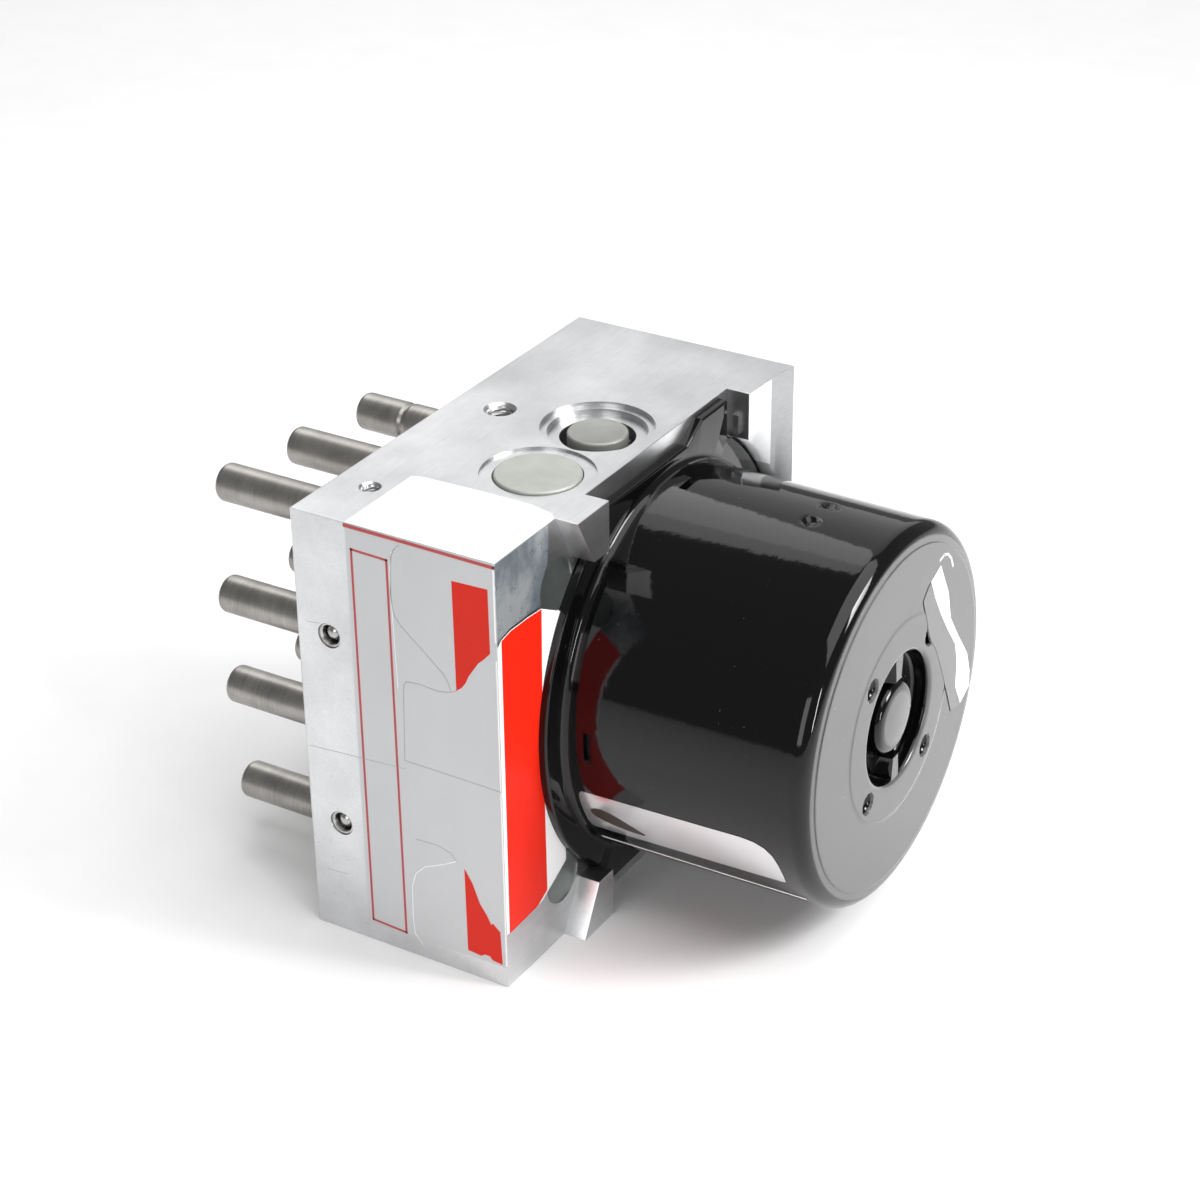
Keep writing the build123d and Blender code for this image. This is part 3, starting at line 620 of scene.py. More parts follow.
def fill(mesh: Mesh, rows: Sequence[Sequence[Any]]) -> None:
    """Fill the faces between closed rows of points.

    Args:
        mesh: the mesh that has the points.
        rows: the rows, each as long as the next or a single point.
    """
    for row, after in zip(rows, rows[1:]):
        count = max(len(row), len(after))
        for k in range(count):
            n = (k + 1) % count
            if len(row) == 1:
                mesh.faces.new((row[0], after[n], after[k]))
            elif len(after) == 1:
                mesh.faces.new((row[k], row[n], after[0]))
            else:
                mesh.faces.new((row[k], row[n], after[n], after[k]))


def outward(mesh: Mesh) -> Mesh:
    """Turn every face of a closed shape outward."""
    bmesh.ops.recalc_face_normals(mesh, faces=mesh.faces)
    return mesh


def to_metres(mesh: Mesh) -> Mesh:
    """Scale a shape from millimetres and turn its faces outward."""
    mesh.transform(Matrix.Scale(MM, 4))
    return outward(mesh)


def lathe(profile: Outline, heading: Heading, point: Point, steps: int) -> Mesh:
    """Turn an open (radius, distance) line about an axis.

    Args:
        profile: points along the line, closed on itself when it ends where it starts.
        heading: the axis's direction.
        point: where the axis starts, in millimetres.
        steps: points round the axis.

    Returns:
        The turned shape, in metres.
    """
    mesh = bmesh.new()
    rings = []
    turns = [2 * math.pi * step / steps for step in range(steps)]
    for radius, along in profile:
        around = turns if radius > ON_AXIS else turns[:1]
        rings.append([
            mesh.verts.new((radius * math.cos(a), radius * math.sin(a), along)) for a in around
        ])
    fill(mesh, rings)
    bmesh.ops.remove_doubles(mesh, verts=mesh.verts, dist=MERGE)
    outward(mesh).transform(frame_along(heading, point))
    return mesh


def arc(centre: Pair, radius: float, start: float, end: float, steps: int) -> list[Pair]:
    """Points on an arc, for a lathe profile.

    Args:
        centre: (radius, distance) of the arc's centre.
        radius: the arc's radius.
        start: first angle in degrees.
        end: last angle in degrees.
        steps: spans along it.

    Returns:
        The points.
    """
    points = []
    for step in range(steps + 1):
        angle = math.radians(start + (end - start) * step / steps)
        points.append((centre[0] + radius * math.cos(angle), centre[1] + radius * math.sin(angle)))
    return points


def between(first: Sequence[float], second: Sequence[float], share: float) -> tuple[Any, ...]:
    """Point at a share of the way from one point to another."""
    return tuple(a + (b - a) * share for a, b in zip(first, second))


def strokes(points: Outline, width: float) -> list[list[Pair]]:
    """Thin straight strokes along a line.

    Args:
        points: the line, in millimetres.
        width: the strokes' width.

    Returns:
        Four corners for each stroke.
    """
    found = []
    for (u0, v0), (u1, v1) in zip(points, points[1:]):
        length = math.hypot(u1 - u0, v1 - v0)
        u, v = (u1 - u0) / length * width / 2, (v1 - v0) / length * width / 2
        found.append([(u0 - u - v, v0 - v + u), (u1 + u - v, v1 + v + u),
                      (u1 + u + v, v1 + v - u), (u0 - u + v, v0 - v - u)])
    return found


def slab(outline: Sequence[Point], push: Point) -> Mesh:
    """Push a flat outline by a vector.

    Args:
        outline: corners in millimetres.
        push: how far it is pushed, in millimetres.

    Returns:
        The closed shape, in metres.
    """
    mesh = bmesh.new()
    first = [mesh.verts.new(Vector(p) * MM) for p in outline]
    second = [mesh.verts.new((Vector(p) + Vector(push)) * MM) for p in outline]
    mesh.faces.new(first)
    mesh.faces.new(list(reversed(second)))
    for index in range(len(first)):
        after = (index + 1) % len(first)
        mesh.faces.new((first[index], second[index], second[after], first[after]))
    return outward(mesh)


def joined(meshes: Sequence[Mesh]) -> Mesh:
    """Put several shapes into one and free them.

    Args:
        meshes: the shapes.

    Returns:
        One shape that has them all.
    """
    total = bmesh.new()
    for mesh in meshes:
        data = bpy.data.meshes.new("part")
        mesh.to_mesh(data)
        total.from_mesh(data)
        bpy.data.meshes.remove(data)
        mesh.free()
    return total


def other_end(mesh: Mesh) -> Mesh:
    """Mirror a shape to the other end of the block.

    Args:
        mesh: the shape, which stays as it is.

    Returns:
        Its mirrored copy.
    """
    copy = mesh.copy()
    for vert in copy.verts:
        vert.co.z = D.height * MM - vert.co.z
    bmesh.ops.reverse_faces(copy, faces=copy.faces)
    return copy


# ---------------------------------------------------------------- geometry nodes


class Grove:
    """A Geometry Nodes tree that repeats one shape over a set of places."""

    def __init__(self, name: str, finish: bpy.types.Material) -> None:
        """Build the tree.

        Args:
            name: the tree's name.
            finish: the material of what it makes.
        """
        self.tree = bpy.data.node_groups.new(name, "GeometryNodeTree")
        self.sockets = {
            label: self.tree.interface.new_socket(label, in_out=way, socket_type=kind)
            for label, way, kind in (
                ("Places", "INPUT", "NodeSocketGeometry"),
                ("Result", "OUTPUT", "NodeSocketGeometry"),
                ("Unit", "INPUT", "NodeSocketObject"),
                ("Scale", "INPUT", "NodeSocketFloat"),
            )
        }
        given = self.tree.nodes.new("NodeGroupInput").outputs
        unit = self._add("ObjectInfo", {"Object": given["Unit"]})
        wires = {"Points": given["Places"], "Instance": unit.outputs["Geometry"],
                 "Scale": given["Scale"]}
        spread = self._add("InstanceOnPoints", wires)
        real = self._add("RealizeInstances", {"Geometry": spread.outputs["Instances"]})
        dressed = self._add("SetMaterial", {"Geometry": real.outputs["Geometry"]})
        dressed.inputs["Material"].default_value = finish
        end = self.tree.nodes.new("NodeGroupOutput")
        self.tree.links.new(dressed.outputs["Geometry"], end.inputs["Result"])

    def _add(self, kind: str, wires: dict[str, bpy.types.NodeSocket]) -> bpy.types.Node:
        """Add one node.

        Args:
            kind: the node's type, without its usual start.
            wires: what its inputs are linked to, by name.

        Returns:
            The node.
        """
        node = self.tree.nodes.new("GeometryNode" + kind)
        for name, socket in wires.items():
            self.tree.links.new(socket, node.inputs[name])
        return node

    def settle(self, item: bpy.types.Object, values: dict[str, Any]) -> None:
        """Run the tree on an object and keep the result as its mesh.

        Args:
            item: the object that carries the places.
            values: the inputs' values by name.
        """
        modifier = item.modifiers.new("repeat", "NODES")
        modifier.node_group = self.tree
        for label, value in values.items():
            modifier[self.sockets[label].identifier] = value
        item.update_tag()
        bpy.context.view_layer.update()
        seen = item.evaluated_get(bpy.context.evaluated_depsgraph_get())
        data = bpy.data.meshes.new_from_object(seen)
        item.modifiers.clear()
        item.data = data


def pattern(
    name: str,
    shape: Mesh,
    places: Sequence[Point],
    finish: bpy.types.Material,
    crease: float = CREASE,
) -> bpy.types.Object:
    """Repeat a shape over places with Geometry Nodes.

    Args:
        name: the finished object's name.
        shape: the shape, made round the origin, in metres.
        places: where it goes, in millimetres.
        finish: its material.
        crease: edges that turn by more than this many degrees stay sharp.

    Returns:
        The object, as one mesh.
    """
    unit = to_object(name + ".unit", shape, crease)
    points = bmesh.new()
    for place in places:
        points.verts.new(Vector(place) * MM)
    item = to_object(name, points)
    Grove(name + ".pattern", finish).settle(item, {"Unit": unit, "Scale": 1.0})
    smooth(item.data, crease)
    bpy.data.objects.remove(unit)
    return item


# ---------------------------------------------------------------- sub-assemblies


@dataclass
class Assembly:
    """Pieces that are made together and dressed in the finishes of this object."""

    finishes: Finishes

    def build(self) -> None:
        """Make and dress the pieces."""
        raise NotImplementedError

    def dress(
        self,
        item: bpy.types.Object,
        finish: str,
        slot: str,
        replaced: Sequence[str] = (),
    ) -> None:
        """Give a piece of the housing its finish and the CAD nodes that it stands for.

        Args:
            item: the finished piece.
            finish: which finish it gets.
            slot: the record's slot of its material; not used.
            replaced: CAD nodes that it stands for.
        """
        item.data.materials.clear()
        item.data.materials.append(self.finishes[finish])
        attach(item, "housing")
        if replaced:
            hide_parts(*replaced)
        LOG.info("%s: %d faces", item.name, len(item.data.polygons))

    def lay(self, name: str, parts: Sequence[Mesh], finish: str, slot: str = "moulding") -> None:
        """Join shapes into one piece of the housing and dress it."""
        self.dress(to_object(name, joined(parts)), finish, slot)


# ---------------------------------------------------------------- the valve block


@dataclass
class BlockSkin(Assembly):
    """Drilled block with its long edges broken, set back a hair under the films."""

    edge_break: float = 0.22
    break_shape: float = 0.6
    film_room: float = 0.08
    straight: float = 4.0
    sharp: float = 40.0
    merge: float = 1e-6
    same_plane: float = 0.5
    touch: float = 0.01
    level: float = 0.9999
    crease: float = 20.0

    def build(self) -> None:
        """Make and dress the block."""
        mesh = bmesh.new()
        mesh.from_mesh(frame["nodes"]["valve_block"].data)
        bmesh.ops.remove_doubles(mesh, verts=mesh.verts, dist=self.merge)
        bmesh.ops.dissolve_limit(
            mesh, angle_limit=math.radians(self.same_plane), verts=mesh.verts, edges=mesh.edges,
            delimit={"NORMAL"},
        )
        for vert in mesh.verts:
            if abs(vert.co.y / MM - D.near_face) < self.touch:
                vert.co.y += self.film_room * MM
            if abs(vert.co.z / MM - D.height) < self.touch:
                vert.co.z -= self.film_room * MM
        edges = [edge for edge in mesh.edges if self._broken(edge)]
        bmesh.ops.bevel(
            mesh, geom=edges, offset=self.edge_break * MM, segments=2,
            profile=self.break_shape, affect="EDGES", clamp_overlap=True,
        )
        bmesh.ops.triangulate(mesh, faces=[f for f in mesh.faces if len(f.verts) > 4])
        item = to_object("valve_block_skin", mesh, self.crease)
        for face in item.data.polygons:
            face.use_smooth = max(abs(c) for c in face.normal) < self.level
        self.dress(item, "block", "block", ["valve_block"])

    def _broken(self, edge: bmesh.types.BMEdge) -> bool:
        """Whether an edge is broken: long, convex and sharp.

        Args:
            edge: an edge of the block.

        Returns:
            True for an edge that gets a small bevel.
        """
        if not edge.is_manifold or not edge.is_convex:
            return False
        if edge.calc_length() < self.straight * MM:
            return False
        return edge.calc_face_angle(0.0) > math.radians(self.sharp)


# ---------------------------------------------------------------- the motor can


@dataclass
class MotorCan(Assembly):
    """Deep-drawn motor can with its lugged flange, joggled pocket and bearing cup."""

    root_radius: float = 39.0
    end_radius: float = 38.4
    front: float = 13.7
    flange_back: float = 11.7
    end: float = 65.0
    shoulder: float = 3.2
    shoulder_end: float = 64.55
    root_fillet: float = 1.5
    side_spans: int = 60
    steps: int = 384
    wall: float = 1.2
    inner_end: float = 58.5
    inner_lap: float = 0.2
    flange_radius: float = 44.7
    flange_half_height: float = 41.7
    flange_far: float = 43.0
    flange_lap: float = 0.6
    flange_rim: Outline = ((0.55, 0.0), (0.2, 0.08), (0.04, 0.25), (0.0, 0.5))
    face: float = 64.85
    face_halves: range = range(68, 42, -1)
    face_step: Outline = ((34.75, 64.55), (34.6, 64.6), (34.5, 64.8), (34.35, 64.85))
    ring: float = 64.96
    ring_quarters: range = range(81, 59, -1)
    ring_step: Outline = ((20.75, 64.87), (20.6, 64.93), (20.4, 64.96))
    pocket_radius: float = 13.3
    pocket_depth: float = 4.0
    pocket_lip: float = 1.1
    pocket_fillet: float = 0.9
    cup_radius: float = 7.5
    cup_fillet: float = 1.0
    cup_edge: float = 1.6
    cup_drop: float = 1.9
    cup_top: float = 64.7
    cup_crown: Outline = ((4.8, 64.52), (3.6, 64.6), (2.4, 64.66), (1.2, 64.69), (0.0, 64.7))
    end_from: float = 60.0
    dimple_zone: Pair = (14.2, 34.0)
    dimple_circle: float = 17.5
    dimple_turn: float = 44.5
    dimple_radius: float = 2.2
    dimple_depth: float = 1.5
    rib_zone: Pair = (8.4, 14.4)
    rib_turns: Pair = (90.0, 270.0)
    rib_half_width: float = 1.5
    rib_slope: float = 0.7
    rib_top: float = 64.5
    rib_end: float = 64.6
    side_from: Pair = (38.0, 16.0)
    side_radius: float = 1.6
    side_depth: float = 0.9
    side_dimples: Outline = ((46.0, 81.9), (46.0, 93.4))
    bowl_power: float = 0.45
    lance_rows: Pair = (16.5, 21.5)
    fine_span: float = 0.3
    lance_zone: Pair = (17.6, 20.6)
    lance_x: float = 19.2
    lance_half: Pair = (0.75, 2.9)
    lance_depth: float = 1.5
    lance_slope: float = 0.5
    lance_turns: tuple[float, ...] = (90.0, 180.0, 270.0, 0.0)
    ear: Outline = ((-37.4, 47.0), (-37.4, 46.0), (-31.6, 35.3), (-25.9, 35.3), (-25.9, 47.0))
    lugs: tuple[Outline, ...] = (
        ((8.5, 35.7), (8.5, 41.7), (14.5, 45.0), (24.5, 45.0), (24.5, 35.7)),
        ((-25.8, 32.7), (-25.8, 41.7), (-11.8, 41.7), (-11.8, 32.7)),
    )
    corner_nudge: float = 0.0004
    tiny: float = 1e-6
    crease: float = 38.0

    def profile(self) -> list[Pair]:
        """Radius and X of the outside, from the flange to the middle of the cup.

        Returns:
            The points, in millimetres.
        """
        fillet, lip, edge = self.root_fillet, self.pocket_lip, self.cup_edge
        line = arc((self.root_radius + fillet, self.front + fillet), fillet, -90, -180, 6)
        shoulder = arc((self.end_radius - self.shoulder, self.shoulder_end - self.shoulder),
                       self.shoulder, 0, 90, 12)
        start = line[-1]
        line += [between(start, shoulder[0], step / self.side_spans)
                 for step in range(1, self.side_spans)]
        line += [*shoulder, *self.face_step]
        line += [(r / 2, self.face) for r in self.face_halves]
        line += self.ring_step
        line += [(r / 4, self.ring) for r in self.ring_quarters]
        line += arc((self.pocket_radius + lip, self.ring - lip), lip, 90, 180, 6)
        floor = self.end - self.pocket_depth
        fillet = self.pocket_fillet
        line += arc((self.pocket_radius - fillet, floor + fillet), fillet, 0, -90, 5)
        fillet = self.cup_fillet
        line += arc((self.cup_radius + fillet, floor + fillet), fillet, -90, -180, 5)
        line += arc((self.cup_radius - edge, self.cup_top - self.cup_drop), edge, 0, 80, 8)
        return [*line, *self.cup_crown]

    def relief(self, radius: float, along: float, angle: float) -> Pair:
        """How far dimples, ribs and lances move a point of the can.

        Args:
            radius: the point's distance from the axis.
            along: the point's X.
            angle: its angle, from far (0) over the top (90).

        Returns:
            The move along the radius and along X, in millimetres.
        """
        inward = back = 0.0
        if self.dimple_zone[0] < radius < self.dimple_zone[1] and along > self.end_from:
            back -= self._end_dimples(radius, angle)
        if self.rib_zone[0] < radius < self.rib_zone[1] and along < self.rib_end:
            for side in self.rib_turns:
                turn = angle - math.radians(side)
                room = self.rib_half_width + self.rib_slope - abs(math.sin(turn) * radius)
                if math.cos(turn) > 0 and room > 0:
                    back += max(0.0, self.rib_top - along) * min(1.0, room / self.rib_slope)
        if radius > self.side_from[0] and along > self.side_from[1]:
            for place, turn in self.side_dimples:
                gap = math.hypot(along - place, radius * self._off(angle, turn))
                inward -= self._bowl(gap, self.side_radius, self.side_depth)
            if self.lance_zone[0] < along < self.lance_zone[1]:
                inward -= self._lances(radius, along, angle)
        return inward, back

    def _end_dimples(self, radius: float, angle: float) -> float:
        """Depth of the four end dimples at a point of the end face.

        Args:
            radius: the point's distance from the axis.
            angle: its angle.

        Returns:
            The depth, in millimetres.
        """
        depth = 0.0
        for quarter in range(4):
            turn = math.radians(self.dimple_turn + 90 * quarter)
            gap = math.dist(
                (radius * math.cos(angle), radius * math.sin(angle)),
                (self.dimple_circle * math.cos(turn), self.dimple_circle * math.sin(turn)),
            )
            depth += self._bowl(gap, self.dimple_radius, self.dimple_depth)
        return depth

    def _bowl(self, gap: float, radius: float, depth: float) -> float:
        """Depth of a round dimple at a distance from its middle."""
        return depth * (1 - (gap / radius) ** 2) ** self.bowl_power if gap < radius else 0.0

    def _lances(self, radius: float, along: float, angle: float) -> float:
        """Depth of the four lances by the flange at a point of the side.

        Args:
            radius: the point's distance from the axis.
            along: the point's X.
            angle: its angle.

        Returns:
            The depth, in millimetres.
        """
        depth, (half_width, half_length) = 0.0, self.lance_half
        for turn in self.lance_turns:
            off = abs(radius * self._off(angle, turn))
            if off < half_length and abs(along - self.lance_x) < half_width:
                depth += self.lance_depth * min(1.0, (half_length - off) / self.lance_slope)
        return depth

    @staticmethod
    def _off(angle: float, degrees: float) -> float:
        """Smallest signed angle between two directions, in radians."""
        return (angle - math.radians(degrees) + math.pi) % (2 * math.pi) - math.pi

    def _line(self) -> list[Pair]:
        """Points of the outside, closer together where the lances are.

        Returns:
            Radius and X of each, in millimetres.
        """
        outer = self.profile()
        line = []
        for first, second in zip(outer, outer[1:]):
            line.append(first)
            near = first[0] > self.side_from[0] and (
                self.lance_rows[0] < first[1] < self.lance_rows[1]
            )
            if near and abs(second[1] - first[1]) > self.fine_span:
                line += [between(first, second, k / 4) for k in range(1, 4)]
        return [*line, outer[-1]]

    def _wall(self) -> Mesh:
        """The closed skin of the can with its relief.

        Returns:
            The shape, in metres.
        """
        mesh = bmesh.new()
        angles = [2 * math.pi * step / self.steps for step in range(self.steps)]
        rows = []
        for radius, along in self._line():
            if radius < ON_AXIS:
                rows.append([mesh.verts.new(D.round_motor(along, 0.0, 0.0))])
                continue
            row = []
            for angle in angles:
                inward, back = self.relief(radius, along, angle)
                row.append(mesh.verts.new(D.round_motor(along + back, radius + inward, angle)))
            rows.append(row)
        inner = [
            [mesh.verts.new(D.round_motor(x, r, a)) for a in angles]
            for r, x in ((self.root_radius - self.wall, self.front - self.inner_lap),
                         (self.end_radius - self.wall, self.inner_end))
        ]
        centre = mesh.verts.new(D.round_motor(self.inner_end, 0.0, 0.0))
        fill(mesh, [inner[1], inner[0], *rows])
        fill(mesh, [[centre], inner[1]])
        return to_metres(mesh)

    def reach(self, angle: float) -> float:
        """How far the flange reaches from the motor's axis.

        Args:
            angle: direction in the flange's plane, from far (0) over the top (90 degrees).

        Returns:
            The distance, in millimetres.
        """
        c, t = math.cos(angle), abs(math.sin(angle))
        best = self.flange_radius
        if t > self.tiny:
            best = min(best, self.flange_half_height / t)
        if c > self.tiny:
            best = min(best, self.flange_far / c)
        for corners in self.lugs:
            crossings = self._crossings(c, t, corners)
            if crossings:
                best = max(best, max(crossings))
        cuts = self._crossings(c, t, self.ear)
        if cuts:
            best = min(best, min(cuts))
        return best

    @staticmethod
    def _crossings(c: float, t: float, corners: Outline) -> list[float]:
        """Distances at which a ray from the motor's axis meets a polygon's edges.

        Args:
            c: cosine of the ray's direction.
            t: its sine.
            corners: the polygon, round the motor's axis.

        Returns:
            The distances, in millimetres.
        """
        found = []
        for (y0, z0), (y1, z1) in zip(corners, [*corners[1:], corners[0]]):
            side = (y1 - y0) * t - (z1 - z0) * c
            if abs(side) < 1e-9:
                continue
            along = (z0 * c - y0 * t) / side
            if 0.0 <= along <= 1.0:
                distance = (y0 + (y1 - y0) * along) * c + (z0 + (z1 - z0) * along) * t
                if distance > 0:
                    found.append(distance)
        return found

    def _flange(self) -> Mesh:
        """The flange plate with a rounded front rim.

        Returns:
            The shape, in metres.
        """
        angles = {math.radians(k / 2) for k in range(720)}
        for y, z in [corner for corners in (*self.lugs, self.ear) for corner in corners]:
            for turn in (-self.corner_nudge, 0.0, self.corner_nudge):
                angles.add((math.atan2(z, y) + turn) % (2 * math.pi))
                angles.add((math.atan2(-z, y) + turn) % (2 * math.pi))
        order = sorted(angles)
        reach = [self.reach(a) for a in order]
        inner = [self.root_radius - self.flange_lap] * len(order)
        rows = [(inner, self.front)]
        rows += [([r - inset for r in reach], self.front - drop)
                 for inset, drop in self.flange_rim]
        rows += [(reach, self.flange_back), (inner, self.flange_back)]
        mesh = bmesh.new()
        made = [[mesh.verts.new(D.round_motor(x, r, a)) for a, r in zip(order, row)]
                for row, x in rows]
        fill(mesh, [*made, made[0]])
        return to_metres(mesh)

    def build(self) -> None:
        """Make and dress the can."""
        can = to_object("motor_can_skin", joined([self._wall(), self._flange()]), self.crease)
        self.dress(can, "can", "can", ["motor_can"])


# ---------------------------------------------------------------- valves and closures


@dataclass
class ValveTubes(Assembly):
    """Twelve drawn stainless tubes in three columns, each seated in its bore."""

    radius: float = 3.9
    collar_radius: float = 6.4
    collar_x: float = -33.4
    tips: tuple[float, float, float] = (-65.0, -62.8, -60.2)
    outer_y: tuple[float, float, float] = (-29.75, -9.55, 10.65)
    inner_y: tuple[float, float, float] = (-31.75, -11.55, 8.65)
    outer_z: tuple[float, float] = (80.3, 11.7)
    inner_z: tuple[float, float] = (56.4, 35.6)
    neck: float = 11.4
    neck_depth: float = 0.28
    crease: float = 40.0

    def _profile(self, length: float, necked: bool) -> list[Pair]:
        """Radius and distance from the tip of one closed tube.

        Args:
            length: how far the collar's face is from the tip.
            necked: whether the tube has a groove round it.

        Returns:
            The points, in millimetres.
        """
        r, collar, neck = self.radius, self.collar_radius, self.neck
        line = [(0.0, 0.0), (1.2, 0.05), (2.2, 0.22)]
        line += [(r - 1.1 + 1.1 * math.sin(math.radians(a)), 1.4 - 1.1 * math.cos(math.radians(a)))
                 for a in range(20, 91, 10)]
        line += [(r, 1.7), (r, 3.0)]
        if necked:
            line += [(r, neck - 0.8), (r, neck - 0.5), (r - self.neck_depth, neck - 0.1),
                     (r - self.neck_depth, neck + 0.5), (r, neck + 0.9), (r, neck + 1.2)]
        line += [(r, length - 2.9), (r, length - 2.6), (r + 0.1, length - 2.2),
                 (r + 0.45, length - 2.0), (r + 0.5, length - 0.3),
                 (collar - 0.5, length - 0.2), (collar - 0.1, length), (collar, length + 0.4),
                 (collar, length + 3.0), (r - 0.5, length + 3.0), (r - 0.5, 2.2),
                 (r - 1.2, 1.5), (0.0, 1.2)]
        return line

    def build(self) -> None:
        """Make the three columns, each as one piece."""
        for column, tip in enumerate(self.tips):
            unit = lathe(self._profile(self.collar_x - tip, column == 2),
                         Heading.MOTOR, (0, 0, 0), 64)
            places = [(tip, self.outer_y[column], z) for z in self.outer_z]
            places += [(tip, self.inner_y[column], z) for z in self.inner_z]
            name = f"valve_tubes_{column + 1}"
            item = pattern(name, unit, places, self.finishes["stainless"], self.crease)
            nodes = [f"valve_sleeve_{column * 4 + k}" for k in range(1, 5)]
            self.dress(item, "stainless", "stainless", nodes)


@dataclass
class EndPlugs(Assembly):
    """Pump cup and accumulator cap in the block's top, and their mirror below."""

    cup_radius: float = 6.0
    cup_top: float = 1.1
    cup_edge: float = 0.45
    cup_foot: float = 11.6
    cap_radius: float = 8.48
    cap_edge: float = 0.5
    cap_foot: float = 2.6

    def _cup(self) -> list[Pair]:
        """Radius and height of the pump's cup, from the block's face.

        Returns:
            The points, in millimetres.
        """
        r, top = self.cup_radius, -self.cup_top
        line = [(0.0, top - 0.12), (r - 1.0, top - 0.12), (r - 0.8, top - 0.02)]
        line += arc((r - self.cup_edge, top - self.cup_edge), self.cup_edge, 90, 0, 10)
        return [*line, (r, -6.0), (r, -self.cup_foot), (0.0, -self.cup_foot)]

    def _cap(self) -> list[Pair]:
        """Radius and height of the accumulator's cap, flush with the face.

        Returns:
            The points, in millimetres.
        """
        r, edge = self.cap_radius, self.cap_edge
        line = [(0.0, -0.06), (5.5, -0.05), (r - 0.9, -0.02)]
        line += arc((r - edge, -edge), edge, 90, 0, 6)
        return [*line, (r, -self.cap_foot), (0.0, -self.cap_foot)]

    def build(self) -> None:
        """Make and dress the four plugs."""
        kinds = (
            ("pump_plug", self._cup(), (D.pump_x, D.motor_y), "cup_steel"),
            ("accumulator_plug", self._cap(), (D.store_x, D.store_y), "plug_steel"),
        )
        for node, profile, (x, y), finish in kinds:
            top = lathe(profile, Heading.UP, (x, y, D.height), 128)
            for end, mesh in ((End.TOP, top), (End.BOTTOM, other_end(top))):
                item = to_object(f"{node}_{end.value}_skin", mesh)
                self.dress(item, finish, "plug_steel", [f"{node}_{end.value}"])


@dataclass
class StakeTabs(Assembly):
    """Tabs of the block that are bent over the flange's far lugs."""

    outline: Outline = ((12.0, 43.05), (12.0, 45.6), (14.5, 45.6), (14.5, 40.6),
                        (13.75, 40.6), (13.75, 43.05))
    foot: float = 79.9
    height: float = 4.3
    edge: float = 0.25
    crease: float = 50.0

    def build(self) -> None:
        """Make the upper and the lower tab."""
        upper = slab([(x, y, self.foot) for x, y in self.outline], (0, 0, self.height))
        bmesh.ops.bevel(
            upper, geom=upper.edges, offset=self.edge * MM, segments=2, affect="EDGES"
        )
        tabs = to_object("stake_tabs", joined([other_end(upper), upper]), self.crease)
        self.dress(tabs, "tab", "block")


@dataclass(frozen=True)
class Coil:
    """One kind of return spring, in millimetres."""

    kind: str
    x: float
    y: float
    radius: float
    wire: float
    stroke: float
    turns: float = 3.5
    sides: int = 12
    steps: int = 40

    def wound(self, low: float, high: float) -> Mesh:
        """Wind a round wire between two heights.

        Args:
            low: height of its underside.
            high: height of its top.

        Returns:
            The closed coil, in metres.
        """
        mesh = bmesh.new()
        count = round(self.turns * self.steps)
        half = self.wire / 2
        rows = []
        for k in range(count + 1):
            angle = 2 * math.pi * k / self.steps
            middle = low + half + (high - low - self.wire) * k / count
            row = []
            for side in range(self.sides):
                turn = 2 * math.pi * side / self.sides
                r = self.radius + half * math.cos(turn)
                z = middle + half * math.sin(turn)
                row.append(mesh.verts.new((r * math.cos(angle), r * math.sin(angle), z)))
            rows.append(row)
        fill(mesh, rows)
        mesh.faces.new(rows[0])
        mesh.faces.new(rows[-1])
        outward(mesh)
        mesh.transform(Matrix.Scale(MM, 4) @ Matrix.Translation((self.x, self.y, 0)))
        return mesh


@dataclass
class Springs(Assembly):
    """Round-wire return springs, each wound to the height of its CAD node."""

    coils: tuple[Coil, ...] = (
        Coil("pump", D.pump_x, D.motor_y, radius=2.3, wire=0.7, stroke=2.5),
        Coil("accumulator", D.store_x, D.store_y, radius=6.6, wire=1.4, stroke=7.0),
    )
    clear: float = 0.03
    crease: float = 60.0

    def build(self) -> None:
        """Make the four springs, each wound between the bottom and top of its CAD node."""
        for coil, end in [(coil, end) for coil in self.coils for end in End]:
            node = f"{coil.kind}_spring_{end.value}"
            low, high = (corner[2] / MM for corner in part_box(node))
            wire = coil.wound(low + self.clear, high - self.clear)
            item = to_object(f"{node}_wire", wire, self.crease)
            self.dress(item, "spring_wire", "spring_wire", [node])
            fixed = high if end is End.TOP else low
            fixed * MM
            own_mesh(item)


@dataclass
class Closures(Assembly):
    """Pressed rings with steel balls that close two drillings on the near face."""

    x: float = -25.5
    heights: tuple[float, float] = (66.8, 25.2)
    sunk: float = 0.4
    outer: float = 2.58
    inner: float = 1.95
    ball: float = 1.9
    ball_sunk: float = 0.75
    depth: float = 2.6

    def build(self) -> None:
        """Make the rings and the balls."""
        face, foot = -self.sunk, -self.sunk - self.depth
        ring = [(self.inner, face - 0.25), (self.inner + 0.18, face - 0.03),
                (self.outer - 0.15, face), (self.outer, face - 0.18),
                (self.outer, foot), (self.inner, foot), (self.inner, face - 0.25)]
        places = [(self.x, D.near_face, z) for z in self.heights]
        ball = [(self.ball * math.sin(math.radians(a)), -self.ball_sunk - self.ball
                 + self.ball * math.cos(math.radians(a))) for a in range(0, 181, 6)]
        ball[0], ball[-1] = (0.0, ball[0][1]), (0.0, ball[-1][1])
        steel = self.finishes["bearing_steel"]
        for name, profile, steps, node in (("closure_rings", ring, 64, "drilling_plugs"),
                                           ("closure_balls", ball, 48, "drilling_balls")):
            unit = lathe(profile, Heading.NEAR, (0, 0, 0), steps)
            item = pattern(name, unit, places, steel)
            self.dress(item, "bearing_steel", "bearing_steel", [node])


